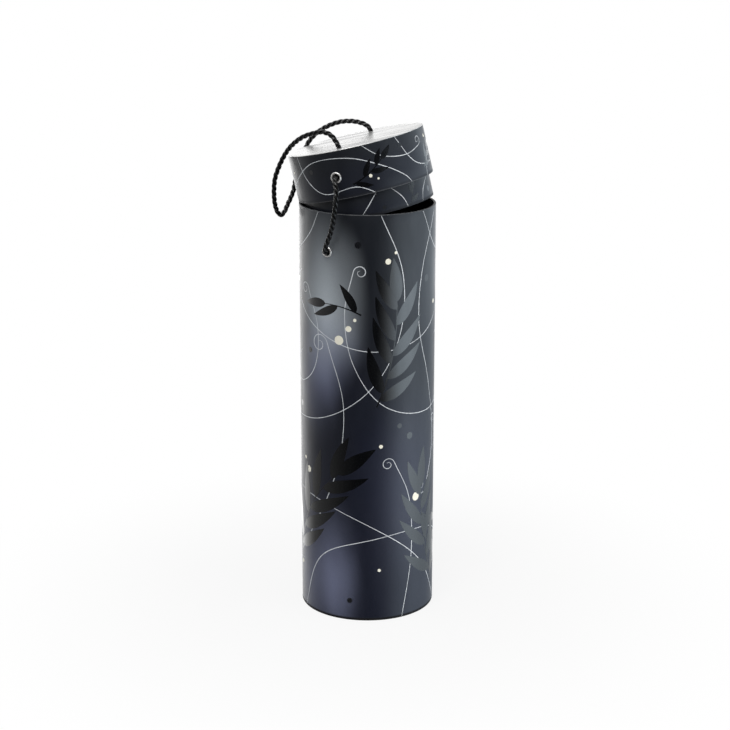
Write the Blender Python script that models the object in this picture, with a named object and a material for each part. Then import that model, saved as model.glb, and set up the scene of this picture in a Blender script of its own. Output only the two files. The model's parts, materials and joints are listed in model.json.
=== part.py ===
"""A round packaging canister with its lid resting open on the mouth.

Card tubes carry a thin printed wrap. The lid has a neck that plugs into the
canister, and one black cord runs from a knot inside the canister out through
an eyelet, into the lid, up through its top as a carrying loop, and back the
same way on the far side. Metres, +Z up, with the origin on the floor under
the canister's axis. The lid leans towards -X.
"""

import math

import bpy
from mathutils import Vector
from mathutils.geometry import interpolate_bezier

# Driving sizes
BODY_RADIUS = 0.045
BODY_HEIGHT = 0.2775
LID_HEIGHT = 0.0312
NECK_DROP = 0.015
LID_TILT_DEG = 13.3

# Board, paper and the gaps between them
SEAT_GAP = 0.0003
WRAP_THICKNESS = 0.00025
TUBE_WALL = 0.00095
NECK_TUBE_WALL = 0.00095
NECK_CLEARANCE = 0.0015
NECK_FIT = 0.0005
DISC_BOARD = 0.002
COVER_THICKNESS = 0.0004
COVER_SETBACK = 0.0001
NECK_WASHER_GAP = 0.0011

# The line that the lid turns about, beside the mouth's low edge
HINGE_INSET = 0.0004
HINGE_RISE = 0.0008

# Cord, its eyelets and its holes
CORD_RADIUS = 0.0016
CORD_STEP = 0.0052
BODY_EYELET_DROP = 0.0255
BODY_EYELET_TURN_DEG = 248.5
LID_EYELET_HEIGHT = 0.0143
LID_EYELET_TURN_DEG = 263.3
TOP_HOLE_INSET = 0.0085
TOP_HOLE_TURN_DEG = 266.3
EYELET_WALL = 0.0004
FLANGE_RADIUS = 0.0036
FLANGE_HEIGHT = 0.00075
WASHER_RADIUS = 0.0042
WASHER_THICKNESS = 0.0004
LIP_REACH = 0.0008
LIP_THICKNESS = 0.0004
KNOT_RADIUS = 0.004
KNOT_LENGTH_SHARE = 0.85

# How finely round shapes are divided
TUBE_SIDES = 96
EYELET_SIDES = 28
HOLE_SIDES = 24
KNOT_SEGMENTS = 20
KNOT_RINGS = 12
CURVE_SAMPLES = 12
CUTTER_OVERRUN = 0.01
SHARP_ANGLE_DEG = 35

# Sizes that follow from those above
WRAP_BORE = BODY_RADIUS - WRAP_THICKNESS
TUBE_RADIUS = WRAP_BORE - SEAT_GAP
BODY_BORE = TUBE_RADIUS - TUBE_WALL
NECK_RADIUS = BODY_BORE - NECK_CLEARANCE
LID_RADIUS = BODY_RADIUS
LID_WRAP_BORE = LID_RADIUS - WRAP_THICKNESS
LID_TUBE_RADIUS = LID_WRAP_BORE - SEAT_GAP
LID_BORE = NECK_RADIUS + NECK_FIT
NECK_WRAP_BORE = NECK_RADIUS - WRAP_THICKNESS
NECK_TUBE_RADIUS = NECK_WRAP_BORE - SEAT_GAP
NECK_BORE = NECK_TUBE_RADIUS - NECK_TUBE_WALL
NECK_SEAT = LID_EYELET_HEIGHT - WASHER_RADIUS - NECK_WASHER_GAP
TOP_HOLE_REACH = LID_BORE - TOP_HOLE_INSET
COVER_SEAT = COVER_THICKNESS + SEAT_GAP
WRAP_SEAT = WRAP_THICKNESS + SEAT_GAP
BORE_RADIUS = CORD_RADIUS + SEAT_GAP
BARREL_RADIUS = BORE_RADIUS + EYELET_WALL
EYELET_HOLE_RADIUS = BARREL_RADIUS + SEAT_GAP
LID_TILT = math.radians(LID_TILT_DEG)
HINGE_REACH = BODY_RADIUS - HINGE_INSET
HINGE_POINT = Vector((-HINGE_REACH, 0, BODY_HEIGHT + HINGE_RISE))
LID_SEAT = Vector((HINGE_REACH, 0, SEAT_GAP - HINGE_RISE))

# The carrying loop, from the front lid eyelet to the back one
HANDLE_ROUTE = [
    (-0.0092, -0.0426, 0.3008),
    (-0.0090, -0.0406, 0.3009),
    (-0.0087, -0.0384, 0.3015),
    (-0.0083, -0.0360, 0.3033),
    (-0.0083, -0.0345, 0.3061),
    (-0.0086, -0.0339, 0.3094),
    (-0.0094, -0.0339, 0.3138),
    (-0.0104, -0.0339, 0.3179),
    (-0.0106, -0.0339, 0.3190),
    (-0.0121, -0.0334, 0.3213),
    (-0.0143, -0.0331, 0.3243),
    (-0.0175, -0.0324, 0.3265),
    (-0.0227, -0.0313, 0.3273),
    (-0.0288, -0.0297, 0.3258),
    (-0.0349, -0.0281, 0.3235),
    (-0.0404, -0.0262, 0.3200),
    (-0.0456, -0.0240, 0.3153),
    (-0.0495, -0.0222, 0.3103),
    (-0.0524, -0.0214, 0.3053),
    (-0.0548, -0.0211, 0.2999),
    (-0.0567, -0.0207, 0.2945),
    (-0.0578, -0.0197, 0.2884),
    (-0.0583, -0.0182, 0.2818),
    (-0.0584, -0.0158, 0.2757),
    (-0.0577, -0.0126, 0.2704),
    (-0.0563, -0.0091, 0.2680),
    (-0.0550, -0.0057, 0.2698),
    (-0.0538, -0.0023, 0.2739),
    (-0.0523, 0.0006, 0.2783),
    (-0.0514, 0.0034, 0.2822),
    (-0.0512, 0.0065, 0.2870),
    (-0.0507, 0.0108, 0.2933),
    (-0.0503, 0.0170, 0.2997),
    (-0.0487, 0.0223, 0.3063),
    (-0.0461, 0.0254, 0.3124),
    (-0.0413, 0.0272, 0.3175),
    (-0.0353, 0.0286, 0.3215),
    (-0.0273, 0.0304, 0.3246),
    (-0.0198, 0.0319, 0.3254),
    (-0.0141, 0.0328, 0.3247),
    (-0.0101, 0.0335, 0.3234),
    (-0.0076, 0.0339, 0.3216),
    (-0.0064, 0.0339, 0.3200),
    (-0.0061, 0.0339, 0.3189),
    (-0.0052, 0.0339, 0.3149),
    (-0.0039, 0.0339, 0.3105),
    (-0.0027, 0.0345, 0.3074),
    (-0.0014, 0.0360, 0.3050),
    (-0.0003, 0.0384, 0.3035),
    (0.0003, 0.0406, 0.3031),
    (0.0005, 0.0426, 0.3031),
]

# The two tethers, from the canister's eyelets up to the lid's
FRONT_TETHER_ROUTE = [
    (-0.01536, -0.03898, 0.2520),
    (-0.01649, -0.04187, 0.2520),
    (-0.01722, -0.04372, 0.2520),
    (-0.01670, -0.04596, 0.2535),
    (-0.01557, -0.04815, 0.2566),
    (-0.01364, -0.05007, 0.2610),
    (-0.01148, -0.05143, 0.2664),
    (-0.00975, -0.05291, 0.2721),
    (-0.00829, -0.05437, 0.2788),
    (-0.00720, -0.05543, 0.2848),
    (-0.00665, -0.05570, 0.2897),
    (-0.00683, -0.05467, 0.2943),
    (-0.00800, -0.05270, 0.2982),
    (-0.00920, -0.05000, 0.3001),
    (-0.00980, -0.04730, 0.3007),
    (-0.00950, -0.04470, 0.3008),
    (-0.00930, -0.04290, 0.3008),
]
BACK_TETHER_ROUTE = [
    (0.01536, 0.03898, 0.2520),
    (0.01649, 0.04187, 0.2520),
    (0.01722, 0.04372, 0.2520),
    (0.0173, 0.0459, 0.2528),
    (0.0166, 0.0483, 0.2550),
    (0.0152, 0.0501, 0.2585),
    (0.0136, 0.0517, 0.2628),
    (0.0115, 0.0531, 0.2678),
    (0.0088, 0.0544, 0.2750),
    (0.0056, 0.0554, 0.2838),
    (0.0036, 0.0559, 0.2908),
    (0.0027, 0.0550, 0.2964),
    (0.0021, 0.0527, 0.3005),
    (0.0015, 0.0500, 0.3026),
    (0.0010, 0.0473, 0.3033),
    (0.0007, 0.0447, 0.3032),
    (0.0005, 0.0429, 0.3031),
]


def clear_scene():
    for obj in list(bpy.data.objects):
        bpy.data.objects.remove(obj)


def material(name, colour, roughness, metallic=0.0):
    made = bpy.data.materials.new(name)
    made.use_nodes = True
    shader = made.node_tree.nodes["Principled BSDF"]
    shader.inputs["Base Color"].default_value = (*colour, 1)
    shader.inputs["Roughness"].default_value = roughness
    shader.inputs["Metallic"].default_value = metallic
    made.diffuse_color = (*colour, 1)
    return made


def frame(name, location=(0, 0, 0), turn_y=0.0):
    """An empty that pieces are parented to."""
    made = bpy.data.objects.new(name, None)
    bpy.context.scene.collection.objects.link(made)
    made.location = location
    made.rotation_euler = (0, turn_y, 0)
    made.empty_display_size = BODY_RADIUS
    return made


def place(obj, finish, parent, location=(0, 0, 0), turn=(0, 0, 0)):
    obj.data.materials.append(finish)
    obj.parent = parent
    obj.location = location
    obj.rotation_euler = turn
    return obj


def add_mesh(name, mesh):
    made = bpy.data.objects.new(name, mesh)
    bpy.context.scene.collection.objects.link(made)
    return made


def smooth(mesh):
    mesh.shade_smooth()
    mesh.set_sharp_from_angle(angle=math.radians(SHARP_ANGLE_DEG))


def turned(name, profile, sides=TUBE_SIDES):
    """A solid of revolution. The profile's (radius, height) points run down its outer side.

    A profile that starts and ends on the axis makes a disc, any other a ring.
    """
    ring = profile[0][0] > 0
    vertices, faces = [], []
    rows = []
    for radius, height in profile:
        if radius == 0:
            rows.append([len(vertices)] * sides)
            vertices.append((0, 0, height))
            continue
        rows.append(list(range(len(vertices), len(vertices) + sides)))
        for side in range(sides):
            angle = 2 * math.pi * side / sides
            vertices.append((radius * math.cos(angle), radius * math.sin(angle), height))
    pairs = list(zip(rows, rows[1:]))
    if ring:
        pairs.append((rows[-1], rows[0]))
    for upper, lower in pairs:
        for side in range(sides):
            after = (side + 1) % sides
            corners = (upper[side], lower[side], lower[after], upper[after])
            faces.append(tuple(dict.fromkeys(corners)))
    mesh = bpy.data.meshes.new(name)
    mesh.from_pydata(vertices, [], faces)
    smooth(mesh)
    return add_mesh(name, mesh)


def tube(name, radius, bore, low, high):
    profile = [(bore, high), (radius, high), (radius, low), (bore, low)]
    return turned(name, profile)


def disc(name, radius, low, high):
    profile = [(0, high), (radius, high), (radius, low), (0, low)]
    return turned(name, profile)


def lipped_wrap(name, radius, bore, inner, low, high, lip_on_top):
    """A wrap of paper with its edge folded in over the tube's end."""
    if lip_on_top:
        fold = high - WRAP_THICKNESS
        profile = [(inner, high), (radius, high), (radius, low), (bore, low), (bore, fold), (inner, fold)]
    else:
        fold = low + WRAP_THICKNESS
        profile = [(bore, high), (radius, high), (radius, low), (inner, low), (inner, fold), (bore, fold)]
    return turned(name, profile)


def cutter(name, radius, depth, parent, location, turn):
    """A hidden cylinder along its own Z, centred on its place."""
    profile = [(0, depth / 2), (radius, depth / 2), (radius, -depth / 2), (0, -depth / 2)]
    made = turned(name, profile, HOLE_SIDES)
    made.parent = parent
    made.location = location
    made.rotation_euler = turn
    made.hide_render = True
    made.display_type = "WIRE"
    return made


def cut(obj, tools):
    for tool in tools:
        hole = obj.modifiers.new(tool.name, "BOOLEAN")
        hole.operation = "DIFFERENCE"
        hole.solver = "EXACT"
        hole.object = tool


def outward(angle):
    """The turn that points a piece's Z along the radius at this angle."""
    return (0, math.pi / 2, angle)


def on_radius(angle, radius, height):
    return Vector((radius * math.cos(angle), radius * math.sin(angle), height))


def inside_step(bore):
    """How far a flat washer stands off the hollow wall behind it."""
    return SEAT_GAP + bore - math.sqrt(bore**2 - WASHER_RADIUS**2)


def eyelet_depth(wall, bore):
    """From the outer surface of the wall to the eyelet's inner end."""
    return wall + inside_step(bore) + WASHER_THICKNESS + SEAT_GAP + LIP_THICKNESS


def eyelet(name, wall, bore):
    """A metal eyelet: domed flange outside, barrel through the wall, rolled lip inside."""
    deep = -eyelet_depth(wall, bore)
    lip = deep + LIP_THICKNESS
    crown = SEAT_GAP + FLANGE_HEIGHT
    shoulder = SEAT_GAP + FLANGE_HEIGHT / 2
    middle = (BARREL_RADIUS + FLANGE_RADIUS) / 2
    lip_radius = BARREL_RADIUS + LIP_REACH
    profile = [
        (BORE_RADIUS, shoulder),
        (BARREL_RADIUS, crown),
        (middle, crown),
        (FLANGE_RADIUS, shoulder),
        (FLANGE_RADIUS, SEAT_GAP),
        (BARREL_RADIUS, SEAT_GAP),
        (BARREL_RADIUS, lip),
        (lip_radius, lip),
        (lip_radius, deep),
        (BORE_RADIUS, deep),
    ]
    return turned(name, profile, EYELET_SIDES)


def washer(name, wall, bore):
    high = -wall - inside_step(bore)
    low = high - WASHER_THICKNESS
    profile = [
        (EYELET_HOLE_RADIUS, high),
        (WASHER_RADIUS, high),
        (WASHER_RADIUS, low),
        (EYELET_HOLE_RADIUS, low),
    ]
    return turned(name, profile, EYELET_SIDES)


def smooth_route(points):
    """Points every CORD_STEP or less along a smooth curve through the route's points."""
    points = [Vector(p) for p in points]
    fine = []
    for i in range(len(points) - 1):
        before = points[max(i - 1, 0)]
        start, end = points[i], points[i + 1]
        after = points[min(i + 2, len(points) - 1)]
        span = (end - start).length
        pull = (end - before).normalized() * span / 3
        push = (after - start).normalized() * span / 3
        run = interpolate_bezier(start, start + pull, end - push, end, CURVE_SAMPLES)
        fine += run if i == 0 else run[1:]
    reach = [0.0]
    for a, b in zip(fine, fine[1:]):
        reach.append(reach[-1] + (b - a).length)
    count = math.ceil(reach[-1] / CORD_STEP)
    spread = []
    at = 0
    for i in range(count + 1):
        want = reach[-1] * i / count
        while at < len(fine) - 2 and reach[at + 1] < want:
            at += 1
        share = (want - reach[at]) / (reach[at + 1] - reach[at])
        spread.append(fine[at].lerp(fine[at + 1], share))
    return spread


def cord(name, route, finish):
    """A round cord along the route, as a curve with a bevel and filled ends."""
    curve = bpy.data.curves.new(name, "CURVE")
    curve.dimensions = "3D"
    curve.bevel_depth = CORD_RADIUS
    curve.bevel_resolution = 2
    curve.use_fill_caps = True
    spline = curve.splines.new("POLY")
    points = smooth_route(route)
    spline.points.add(len(points) - 1)
    for point, place_at in zip(spline.points, points):
        point.co = (*place_at, 1)
    made = bpy.data.objects.new(name, curve)
    bpy.context.scene.collection.objects.link(made)
    curve.materials.append(finish)
    return made


def knot(name, angle, finish, parent):
    """The knot that stops the cord behind a canister eyelet, as the space it fills."""
    half_length = KNOT_RADIUS * KNOT_LENGTH_SHARE
    bulge = []
    for ring in range(KNOT_RINGS + 1):
        rise = math.pi * ring / KNOT_RINGS
        radius = 0 if ring in (0, KNOT_RINGS) else KNOT_RADIUS * math.sin(rise)
        bulge.append((radius, half_length * math.cos(rise)))
    made = turned(name, bulge, KNOT_SEGMENTS)
    wall = BODY_RADIUS - BODY_BORE
    reach = BODY_RADIUS - eyelet_depth(wall, BODY_BORE) - SEAT_GAP - half_length
    height = BODY_HEIGHT - BODY_EYELET_DROP
    return place(made, finish, parent, on_radius(angle, reach, height), outward(angle))


def make_canister(parent, finishes):
    """The standing tube, its printed wrap and its base."""
    angle = math.radians(BODY_EYELET_TURN_DEG)
    height = BODY_HEIGHT - BODY_EYELET_DROP
    depth = 2 * (BODY_RADIUS + CUTTER_OVERRUN)
    hole = cutter("canister_hole_cutter", EYELET_HOLE_RADIUS, depth, parent, (0, 0, height), outward(angle))
    shell = tube("body_tube", TUBE_RADIUS, BODY_BORE, COVER_SEAT, BODY_HEIGHT - WRAP_SEAT)
    wrap = lipped_wrap("body_wrap", BODY_RADIUS, WRAP_BORE, BODY_BORE, COVER_SEAT, BODY_HEIGHT, True)
    place(shell, finishes["board"], parent)
    place(wrap, finishes["printed_wrap"], parent)
    cut(shell, [hole])
    cut(wrap, [hole])
    board = disc("base_board", BODY_BORE - SEAT_GAP, COVER_SEAT, COVER_SEAT + DISC_BOARD)
    cover = disc("base_cover", BODY_RADIUS - COVER_SETBACK, 0, COVER_THICKNESS)
    place(board, finishes["board"], parent)
    place(cover, finishes["dark_paper"], parent)


def make_lid(parent, finishes):
    """The lid's wall, top and neck, in the lid's own frame."""
    wall_top = LID_HEIGHT - COVER_SEAT
    angle = math.radians(LID_EYELET_TURN_DEG)
    depth = 2 * (LID_RADIUS + CUTTER_OVERRUN)
    side_at = LID_SEAT + Vector((0, 0, LID_EYELET_HEIGHT))
    hole = cutter("lid_hole_cutter", EYELET_HOLE_RADIUS, depth, parent, side_at, outward(angle))
    top_holes = []
    top_turn = math.radians(TOP_HOLE_TURN_DEG)
    for side, turn in (("front", top_turn), ("back", top_turn + math.pi)):
        at = LID_SEAT + on_radius(turn, TOP_HOLE_REACH, LID_HEIGHT)
        top_holes.append(cutter(f"top_hole_cutter_{side}", BORE_RADIUS, CUTTER_OVERRUN, parent, at, (0, 0, 0)))
    shell = tube("lid_tube", LID_TUBE_RADIUS, LID_BORE, 0, wall_top)
    wrap = tube("lid_wrap", LID_RADIUS, LID_WRAP_BORE, 0, wall_top)
    place(shell, finishes["board"], parent, LID_SEAT)
    place(wrap, finishes["printed_wrap"], parent, LID_SEAT)
    cut(shell, [hole])
    cut(wrap, [hole])
    board = disc("lid_top_board", LID_BORE - SEAT_GAP, wall_top - DISC_BOARD, wall_top)
    cover = disc("lid_top_cover", LID_RADIUS - COVER_SETBACK, LID_HEIGHT - COVER_THICKNESS, LID_HEIGHT)
    place(board, finishes["board"], parent, LID_SEAT)
    place(cover, finishes["silver_laminate"], parent, LID_SEAT)
    cut(board, top_holes)
    cut(cover, top_holes)
    neck = tube("neck_tube", NECK_TUBE_RADIUS, NECK_BORE, WRAP_SEAT - NECK_DROP, NECK_SEAT)
    neck_wrap = lipped_wrap(
        "neck_wrap", NECK_RADIUS, NECK_WRAP_BORE, NECK_BORE, -NECK_DROP, NECK_SEAT, False
    )
    place(neck, finishes["board"], parent, LID_SEAT)
    place(neck_wrap, finishes["printed_wrap"], parent, LID_SEAT)


def make_eyelets(canister, lid, finishes):
    """Four eyelets, each with the washer that its barrel is rolled over."""
    body_wall = BODY_RADIUS - BODY_BORE
    lid_wall = LID_RADIUS - LID_BORE
    body_turn = math.radians(BODY_EYELET_TURN_DEG)
    lid_turn = math.radians(LID_EYELET_TURN_DEG)
    for side, half_turn in (("front", 0), ("back", math.pi)):
        angle = body_turn + half_turn
        at = on_radius(angle, BODY_RADIUS, BODY_HEIGHT - BODY_EYELET_DROP)
        metal = finishes["nickel"]
        place(eyelet(f"body_eyelet_{side}", body_wall, BODY_BORE), metal, canister, at, outward(angle))
        place(washer(f"body_washer_{side}", body_wall, BODY_BORE), metal, canister, at, outward(angle))
        angle = lid_turn + half_turn
        at = LID_SEAT + on_radius(angle, LID_RADIUS, LID_EYELET_HEIGHT)
        place(eyelet(f"lid_eyelet_{side}", lid_wall, LID_BORE), metal, lid, at, outward(angle))
        place(washer(f"lid_washer_{side}", lid_wall, LID_BORE), metal, lid, at, outward(angle))


def make_cord(canister, finishes):
    """One cord in its free stretches, with a knot at each end."""
    turn = math.radians(BODY_EYELET_TURN_DEG)
    knot("knot_front", turn, finishes["cord"], canister)
    knot("knot_back", turn + math.pi, finishes["cord"], canister)
    cord("tether_front", FRONT_TETHER_ROUTE, finishes["cord"])
    cord("tether_back", BACK_TETHER_ROUTE, finishes["cord"])
    cord("handle_cord", HANDLE_ROUTE, finishes["cord"])


def main():
    clear_scene()
    finishes = {
        "board": material("grey_board", (0.12, 0.11, 0.10), 0.9),
        "printed_wrap": material("printed_wrap", (0.022, 0.026, 0.036), 0.4),
        "dark_paper": material("dark_paper", (0.02, 0.02, 0.024), 0.7),
        "silver_laminate": material("silver_laminate", (0.6, 0.6, 0.6), 0.25),
        "nickel": material("nickel", (0.62, 0.61, 0.59), 0.25, 1.0),
        "cord": material("black_cord", (0.01, 0.01, 0.011), 0.75),
    }
    canister = frame("canister_axis")
    lid = frame("lid_hinge", HINGE_POINT, -LID_TILT)
    make_canister(canister, finishes)
    make_lid(lid, finishes)
    make_eyelets(canister, lid, finishes)
    make_cord(canister, finishes)


main()
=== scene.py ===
"""Dresses a printed board canister: its wraps, print, metal eyelets and laid cord, in a white studio.

Everything is in metres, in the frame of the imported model: +Z up, the canister standing on Z = 0,
its lid leaning towards -X. Lid pieces are made upright round Z, then laid in the lid's place.
"""

import json
import math

import bmesh
import bpy
from bpy.props import FloatProperty, FloatVectorProperty, IntProperty, PointerProperty
from mathutils import Matrix, Vector
from mathutils.geometry import interpolate_bezier


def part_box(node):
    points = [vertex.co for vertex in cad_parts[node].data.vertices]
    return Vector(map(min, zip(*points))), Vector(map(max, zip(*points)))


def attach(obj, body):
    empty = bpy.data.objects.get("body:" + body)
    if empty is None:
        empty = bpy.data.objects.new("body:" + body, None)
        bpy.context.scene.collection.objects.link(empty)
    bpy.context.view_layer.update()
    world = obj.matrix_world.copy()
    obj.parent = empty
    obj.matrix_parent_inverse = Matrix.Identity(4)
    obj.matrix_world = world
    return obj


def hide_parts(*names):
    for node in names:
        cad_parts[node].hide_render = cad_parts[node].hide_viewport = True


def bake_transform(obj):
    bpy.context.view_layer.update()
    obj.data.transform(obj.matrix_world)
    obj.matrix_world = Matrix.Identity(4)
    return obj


bl_info = {
    "name": "Board canister dressing",
    "version": (1, 0, 0),
    "blender": (4, 5, 0),
    "location": "3D View > Sidebar > Canister",
    "description": "Builds the wraps, print, eyelets and cord of a printed board canister",
    "category": "Object",
}

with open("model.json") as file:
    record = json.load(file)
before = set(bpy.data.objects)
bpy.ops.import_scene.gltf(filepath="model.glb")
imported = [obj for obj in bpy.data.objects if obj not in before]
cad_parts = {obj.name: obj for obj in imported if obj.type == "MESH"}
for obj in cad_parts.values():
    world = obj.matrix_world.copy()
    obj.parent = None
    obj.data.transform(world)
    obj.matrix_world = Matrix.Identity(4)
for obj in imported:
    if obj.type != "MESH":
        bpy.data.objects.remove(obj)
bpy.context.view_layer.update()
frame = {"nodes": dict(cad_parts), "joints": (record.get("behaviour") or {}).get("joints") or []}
bpy.ops.object.select_all(action="DESELECT")

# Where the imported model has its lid
JOINTS = {joint["name"]: joint for joint in frame["joints"]}
HINGE = Vector(JOINTS["lid_tilt"]["pos_m"])
LID_AXIS = Vector(JOINTS["lid_lift"]["axis"]).normalized()
LID_LEAN = math.atan2(-LID_AXIS.x, LID_AXIS.z)

# How finely things are divided
WRAP_SIDES = 192
EYELET_SIDES = 48
HOLE_SIDES = 40
CURVE_SAMPLES = 12
ARC_STEPS = 4
RIM_STEPS = 8
CURL_STEPS = 14
KNOT_STEPS = 40
SEAM_ROWS, SEAM_COLUMNS = 12, 6
LEAF_COLUMNS = 6
DOT_ROWS, DOT_COLUMNS = 12, 4
STEM_ROWS = 14
SMOOTH_ANGLE = math.radians(32)
MERGE_DISTANCE = 1e-6
MM = 0.001

# How prints lie over each other, how high berries and dark dots stand against a line or a sprig,
# and how a line thins out and waves, and runs up onto the seam
LAYERS = 9
LAYER_SHARE = 0.03
BERRY_LIFT, DOT_LIFT = 1.5, 0.8
LINE_TAPER = 0.012
LINE_TIP_SHARE = 0.3
LINE_SWELL = 0.14
LINE_WAVES = 9
TIP_PART = 12
CURL_SHRINK = 0.72
SEAM_RUN = 0.0016

# How full a leaf is, how many degrees it stands off its stem, how many fewer at the tip, and how
# far it curves back
LEAF_BELLY, LEAF_FULLNESS = 0.72, 0.85
LEAF_SPREAD, LEAF_CLOSING, LEAF_SWEEP = 46, 12, 16

# Shares of a sprig: its stem's width at the foot and what it loses by the tip, where the pairs of
# leaves begin, how far the two of a pair are apart, how sizes go along the stem, and the tip's leaf
STEM_WIDTH_SHARE, STEM_TAPER_SHARE = 0.95, 0.5
PAIR_START, PAIR_STAGGER, PAIR_END = 0.45, 0.27, 0.1
SIDE_LEAF_LEAST, SIDE_LEAF_SWELL, SIDE_LEAF_WIDTH = 0.72, 0.28, 0.92
SWELL_START, SWELL_RUN = 0.25, 0.6
TIP_LEAF_LENGTH, TIP_LEAF_BEND = 0.86, 0.3

# An overhand knot, in loops' sizes: its entry, depth and start, how much of it is followed, and its
# tail as steps inward, down (a share of the tail) and sideways
KNOT_ENTRY, KNOT_DEPTH = 3.1, 1.25
KNOT_START, KNOT_SHARE = math.radians(200), 0.93
KNOT_TAIL = [(1.6, 0.2, 0.0), (2.4, 0.6, 1.0), (2.2, 1.0, 1.6)]

# Rows of mesh beside the eyelets, the rim and the neck's fold, the inner edge of a disc's rim, and
# how much of a disc's thickness its rounded edges take
EYELET_BAND = 0.005
RIM_BAND = 0.006
NECK_BAND = 0.004
FLAT_SHARE = 0.9
FOOT_SOFTNESS, LID_SOFTNESS = 1 / 3, 0.45

# Holes for eyelets and cord, and how an eyelet bites into the wrap and is rolled over behind
HOLE_EASE = 1.04
HOLE_DEPTH = 0.01
EYELET_BITE = 0.00012
LIP_SHARE = 1.3

# The carrying loop, from the front lid eyelet to the back one
HANDLE_ROUTE = [
    (-0.0092, -0.0426, 0.3008), (-0.0090, -0.0406, 0.3009), (-0.0087, -0.0384, 0.3015),
    (-0.0083, -0.0360, 0.3033), (-0.0083, -0.0345, 0.3061), (-0.0086, -0.0339, 0.3094),
    (-0.0094, -0.0339, 0.3138), (-0.0104, -0.0339, 0.3179), (-0.0106, -0.0339, 0.3190),
    (-0.0121, -0.0334, 0.3213), (-0.0143, -0.0331, 0.3243), (-0.0175, -0.0324, 0.3265),
    (-0.0227, -0.0313, 0.3273), (-0.0288, -0.0297, 0.3258), (-0.0349, -0.0281, 0.3235),
    (-0.0404, -0.0262, 0.3200), (-0.0456, -0.0240, 0.3153), (-0.0495, -0.0222, 0.3103),
    (-0.0524, -0.0214, 0.3053), (-0.0548, -0.0211, 0.2999), (-0.0567, -0.0207, 0.2945),
    (-0.0578, -0.0197, 0.2884), (-0.0583, -0.0182, 0.2818), (-0.0584, -0.0158, 0.2757),
    (-0.0577, -0.0126, 0.2704), (-0.0563, -0.0091, 0.2680), (-0.0550, -0.0057, 0.2698),
    (-0.0538, -0.0023, 0.2739), (-0.0523, 0.0006, 0.2783), (-0.0514, 0.0034, 0.2822),
    (-0.0512, 0.0065, 0.2870), (-0.0507, 0.0108, 0.2933), (-0.0503, 0.0170, 0.2997),
    (-0.0487, 0.0223, 0.3063), (-0.0461, 0.0254, 0.3124), (-0.0413, 0.0272, 0.3175),
    (-0.0353, 0.0286, 0.3215), (-0.0273, 0.0304, 0.3246), (-0.0198, 0.0319, 0.3254),
    (-0.0141, 0.0328, 0.3247), (-0.0101, 0.0335, 0.3234), (-0.0076, 0.0339, 0.3216),
    (-0.0064, 0.0339, 0.3200), (-0.0061, 0.0339, 0.3189), (-0.0052, 0.0339, 0.3149),
    (-0.0039, 0.0339, 0.3105), (-0.0027, 0.0345, 0.3074), (-0.0014, 0.0360, 0.3050),
    (-0.0003, 0.0384, 0.3035), (0.0003, 0.0406, 0.3031), (0.0005, 0.0426, 0.3031),
]

# The two tethers, from the canister's eyelets up to the lid's
TETHER_ROUTES = {
    "front": [
        (-0.01536, -0.03898, 0.2520), (-0.01649, -0.04187, 0.2520), (-0.01722, -0.04372, 0.2520),
        (-0.01670, -0.04596, 0.2535), (-0.01557, -0.04815, 0.2566), (-0.01364, -0.05007, 0.2610),
        (-0.01148, -0.05143, 0.2664), (-0.00975, -0.05291, 0.2721), (-0.00829, -0.05437, 0.2788),
        (-0.00720, -0.05543, 0.2848), (-0.00665, -0.05570, 0.2897), (-0.00683, -0.05467, 0.2943),
        (-0.00800, -0.05270, 0.2982), (-0.00920, -0.05000, 0.3001), (-0.00980, -0.04730, 0.3007),
        (-0.00950, -0.04470, 0.3008), (-0.00930, -0.04290, 0.3008),
    ],
    "back": [
        (0.01536, 0.03898, 0.2520), (0.01649, 0.04187, 0.2520), (0.01722, 0.04372, 0.2520),
        (0.0173, 0.0459, 0.2528), (0.0166, 0.0483, 0.2550), (0.0152, 0.0501, 0.2585),
        (0.0136, 0.0517, 0.2628), (0.0115, 0.0531, 0.2678), (0.0088, 0.0544, 0.2750),
        (0.0056, 0.0554, 0.2838), (0.0036, 0.0559, 0.2908), (0.0027, 0.0550, 0.2964),
        (0.0021, 0.0527, 0.3005), (0.0015, 0.0500, 0.3026), (0.0010, 0.0473, 0.3033),
        (0.0007, 0.0447, 0.3032), (0.0005, 0.0429, 0.3031),
    ],
}

# The print, in millimetres: along the wrap from its front line, and up from the piece's foot.
# A tendril is a list of points, and its curl is (radius, turns, side). A berry or dot is a place
# and a radius. A sprig is (foot, heading, stem, bend, pairs, leaf length, leaf width).
BODY_TENDRILS = [
    ([(66, -2), (40, 38), (4, 66), (-36, 82), (-82, 86)], None),
    ([(-74, 26), (-44, 58), (-22, 102), (-16, 150), (-28, 192)], (7.0, 1.25, 1)),
    ([(-76, 232), (-44, 204), (-2, 188), (40, 194), (80, 220)], None),
    ([(8, 279), (24, 238), (22, 198), (2, 162), (-32, 140), (-80, 134)], None),
    ([(60, 279), (42, 242), (38, 202), (50, 160), (58, 120), (47, 88)], (6.0, 1.2, -1)),
    ([(-54, -2), (-34, 42), (4, 58), (46, 60), (84, 42)], None),
    ([(24, -2), (32, 44), (30, 84), (18, 112)], (4.5, 1.3, 1)),
    ([(-34, 279), (-44, 262), (-62, 250), (-86, 248)], None),
    ([(82, 152), (48, 142), (12, 150), (-9, 178), (-15, 212), (-9, 241)], (4.6, 1.2, -1)),
    ([(-84, 166), (-58, 160), (-40, 172), (-36, 200), (-46, 226)], (4.5, 1.2, 1)),
    ([(84, 96), (68, 110), (62, 134)], (3.5, 1.1, 1)),
    ([(40, 279), (58, 252), (84, 244)], None),
]
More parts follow.
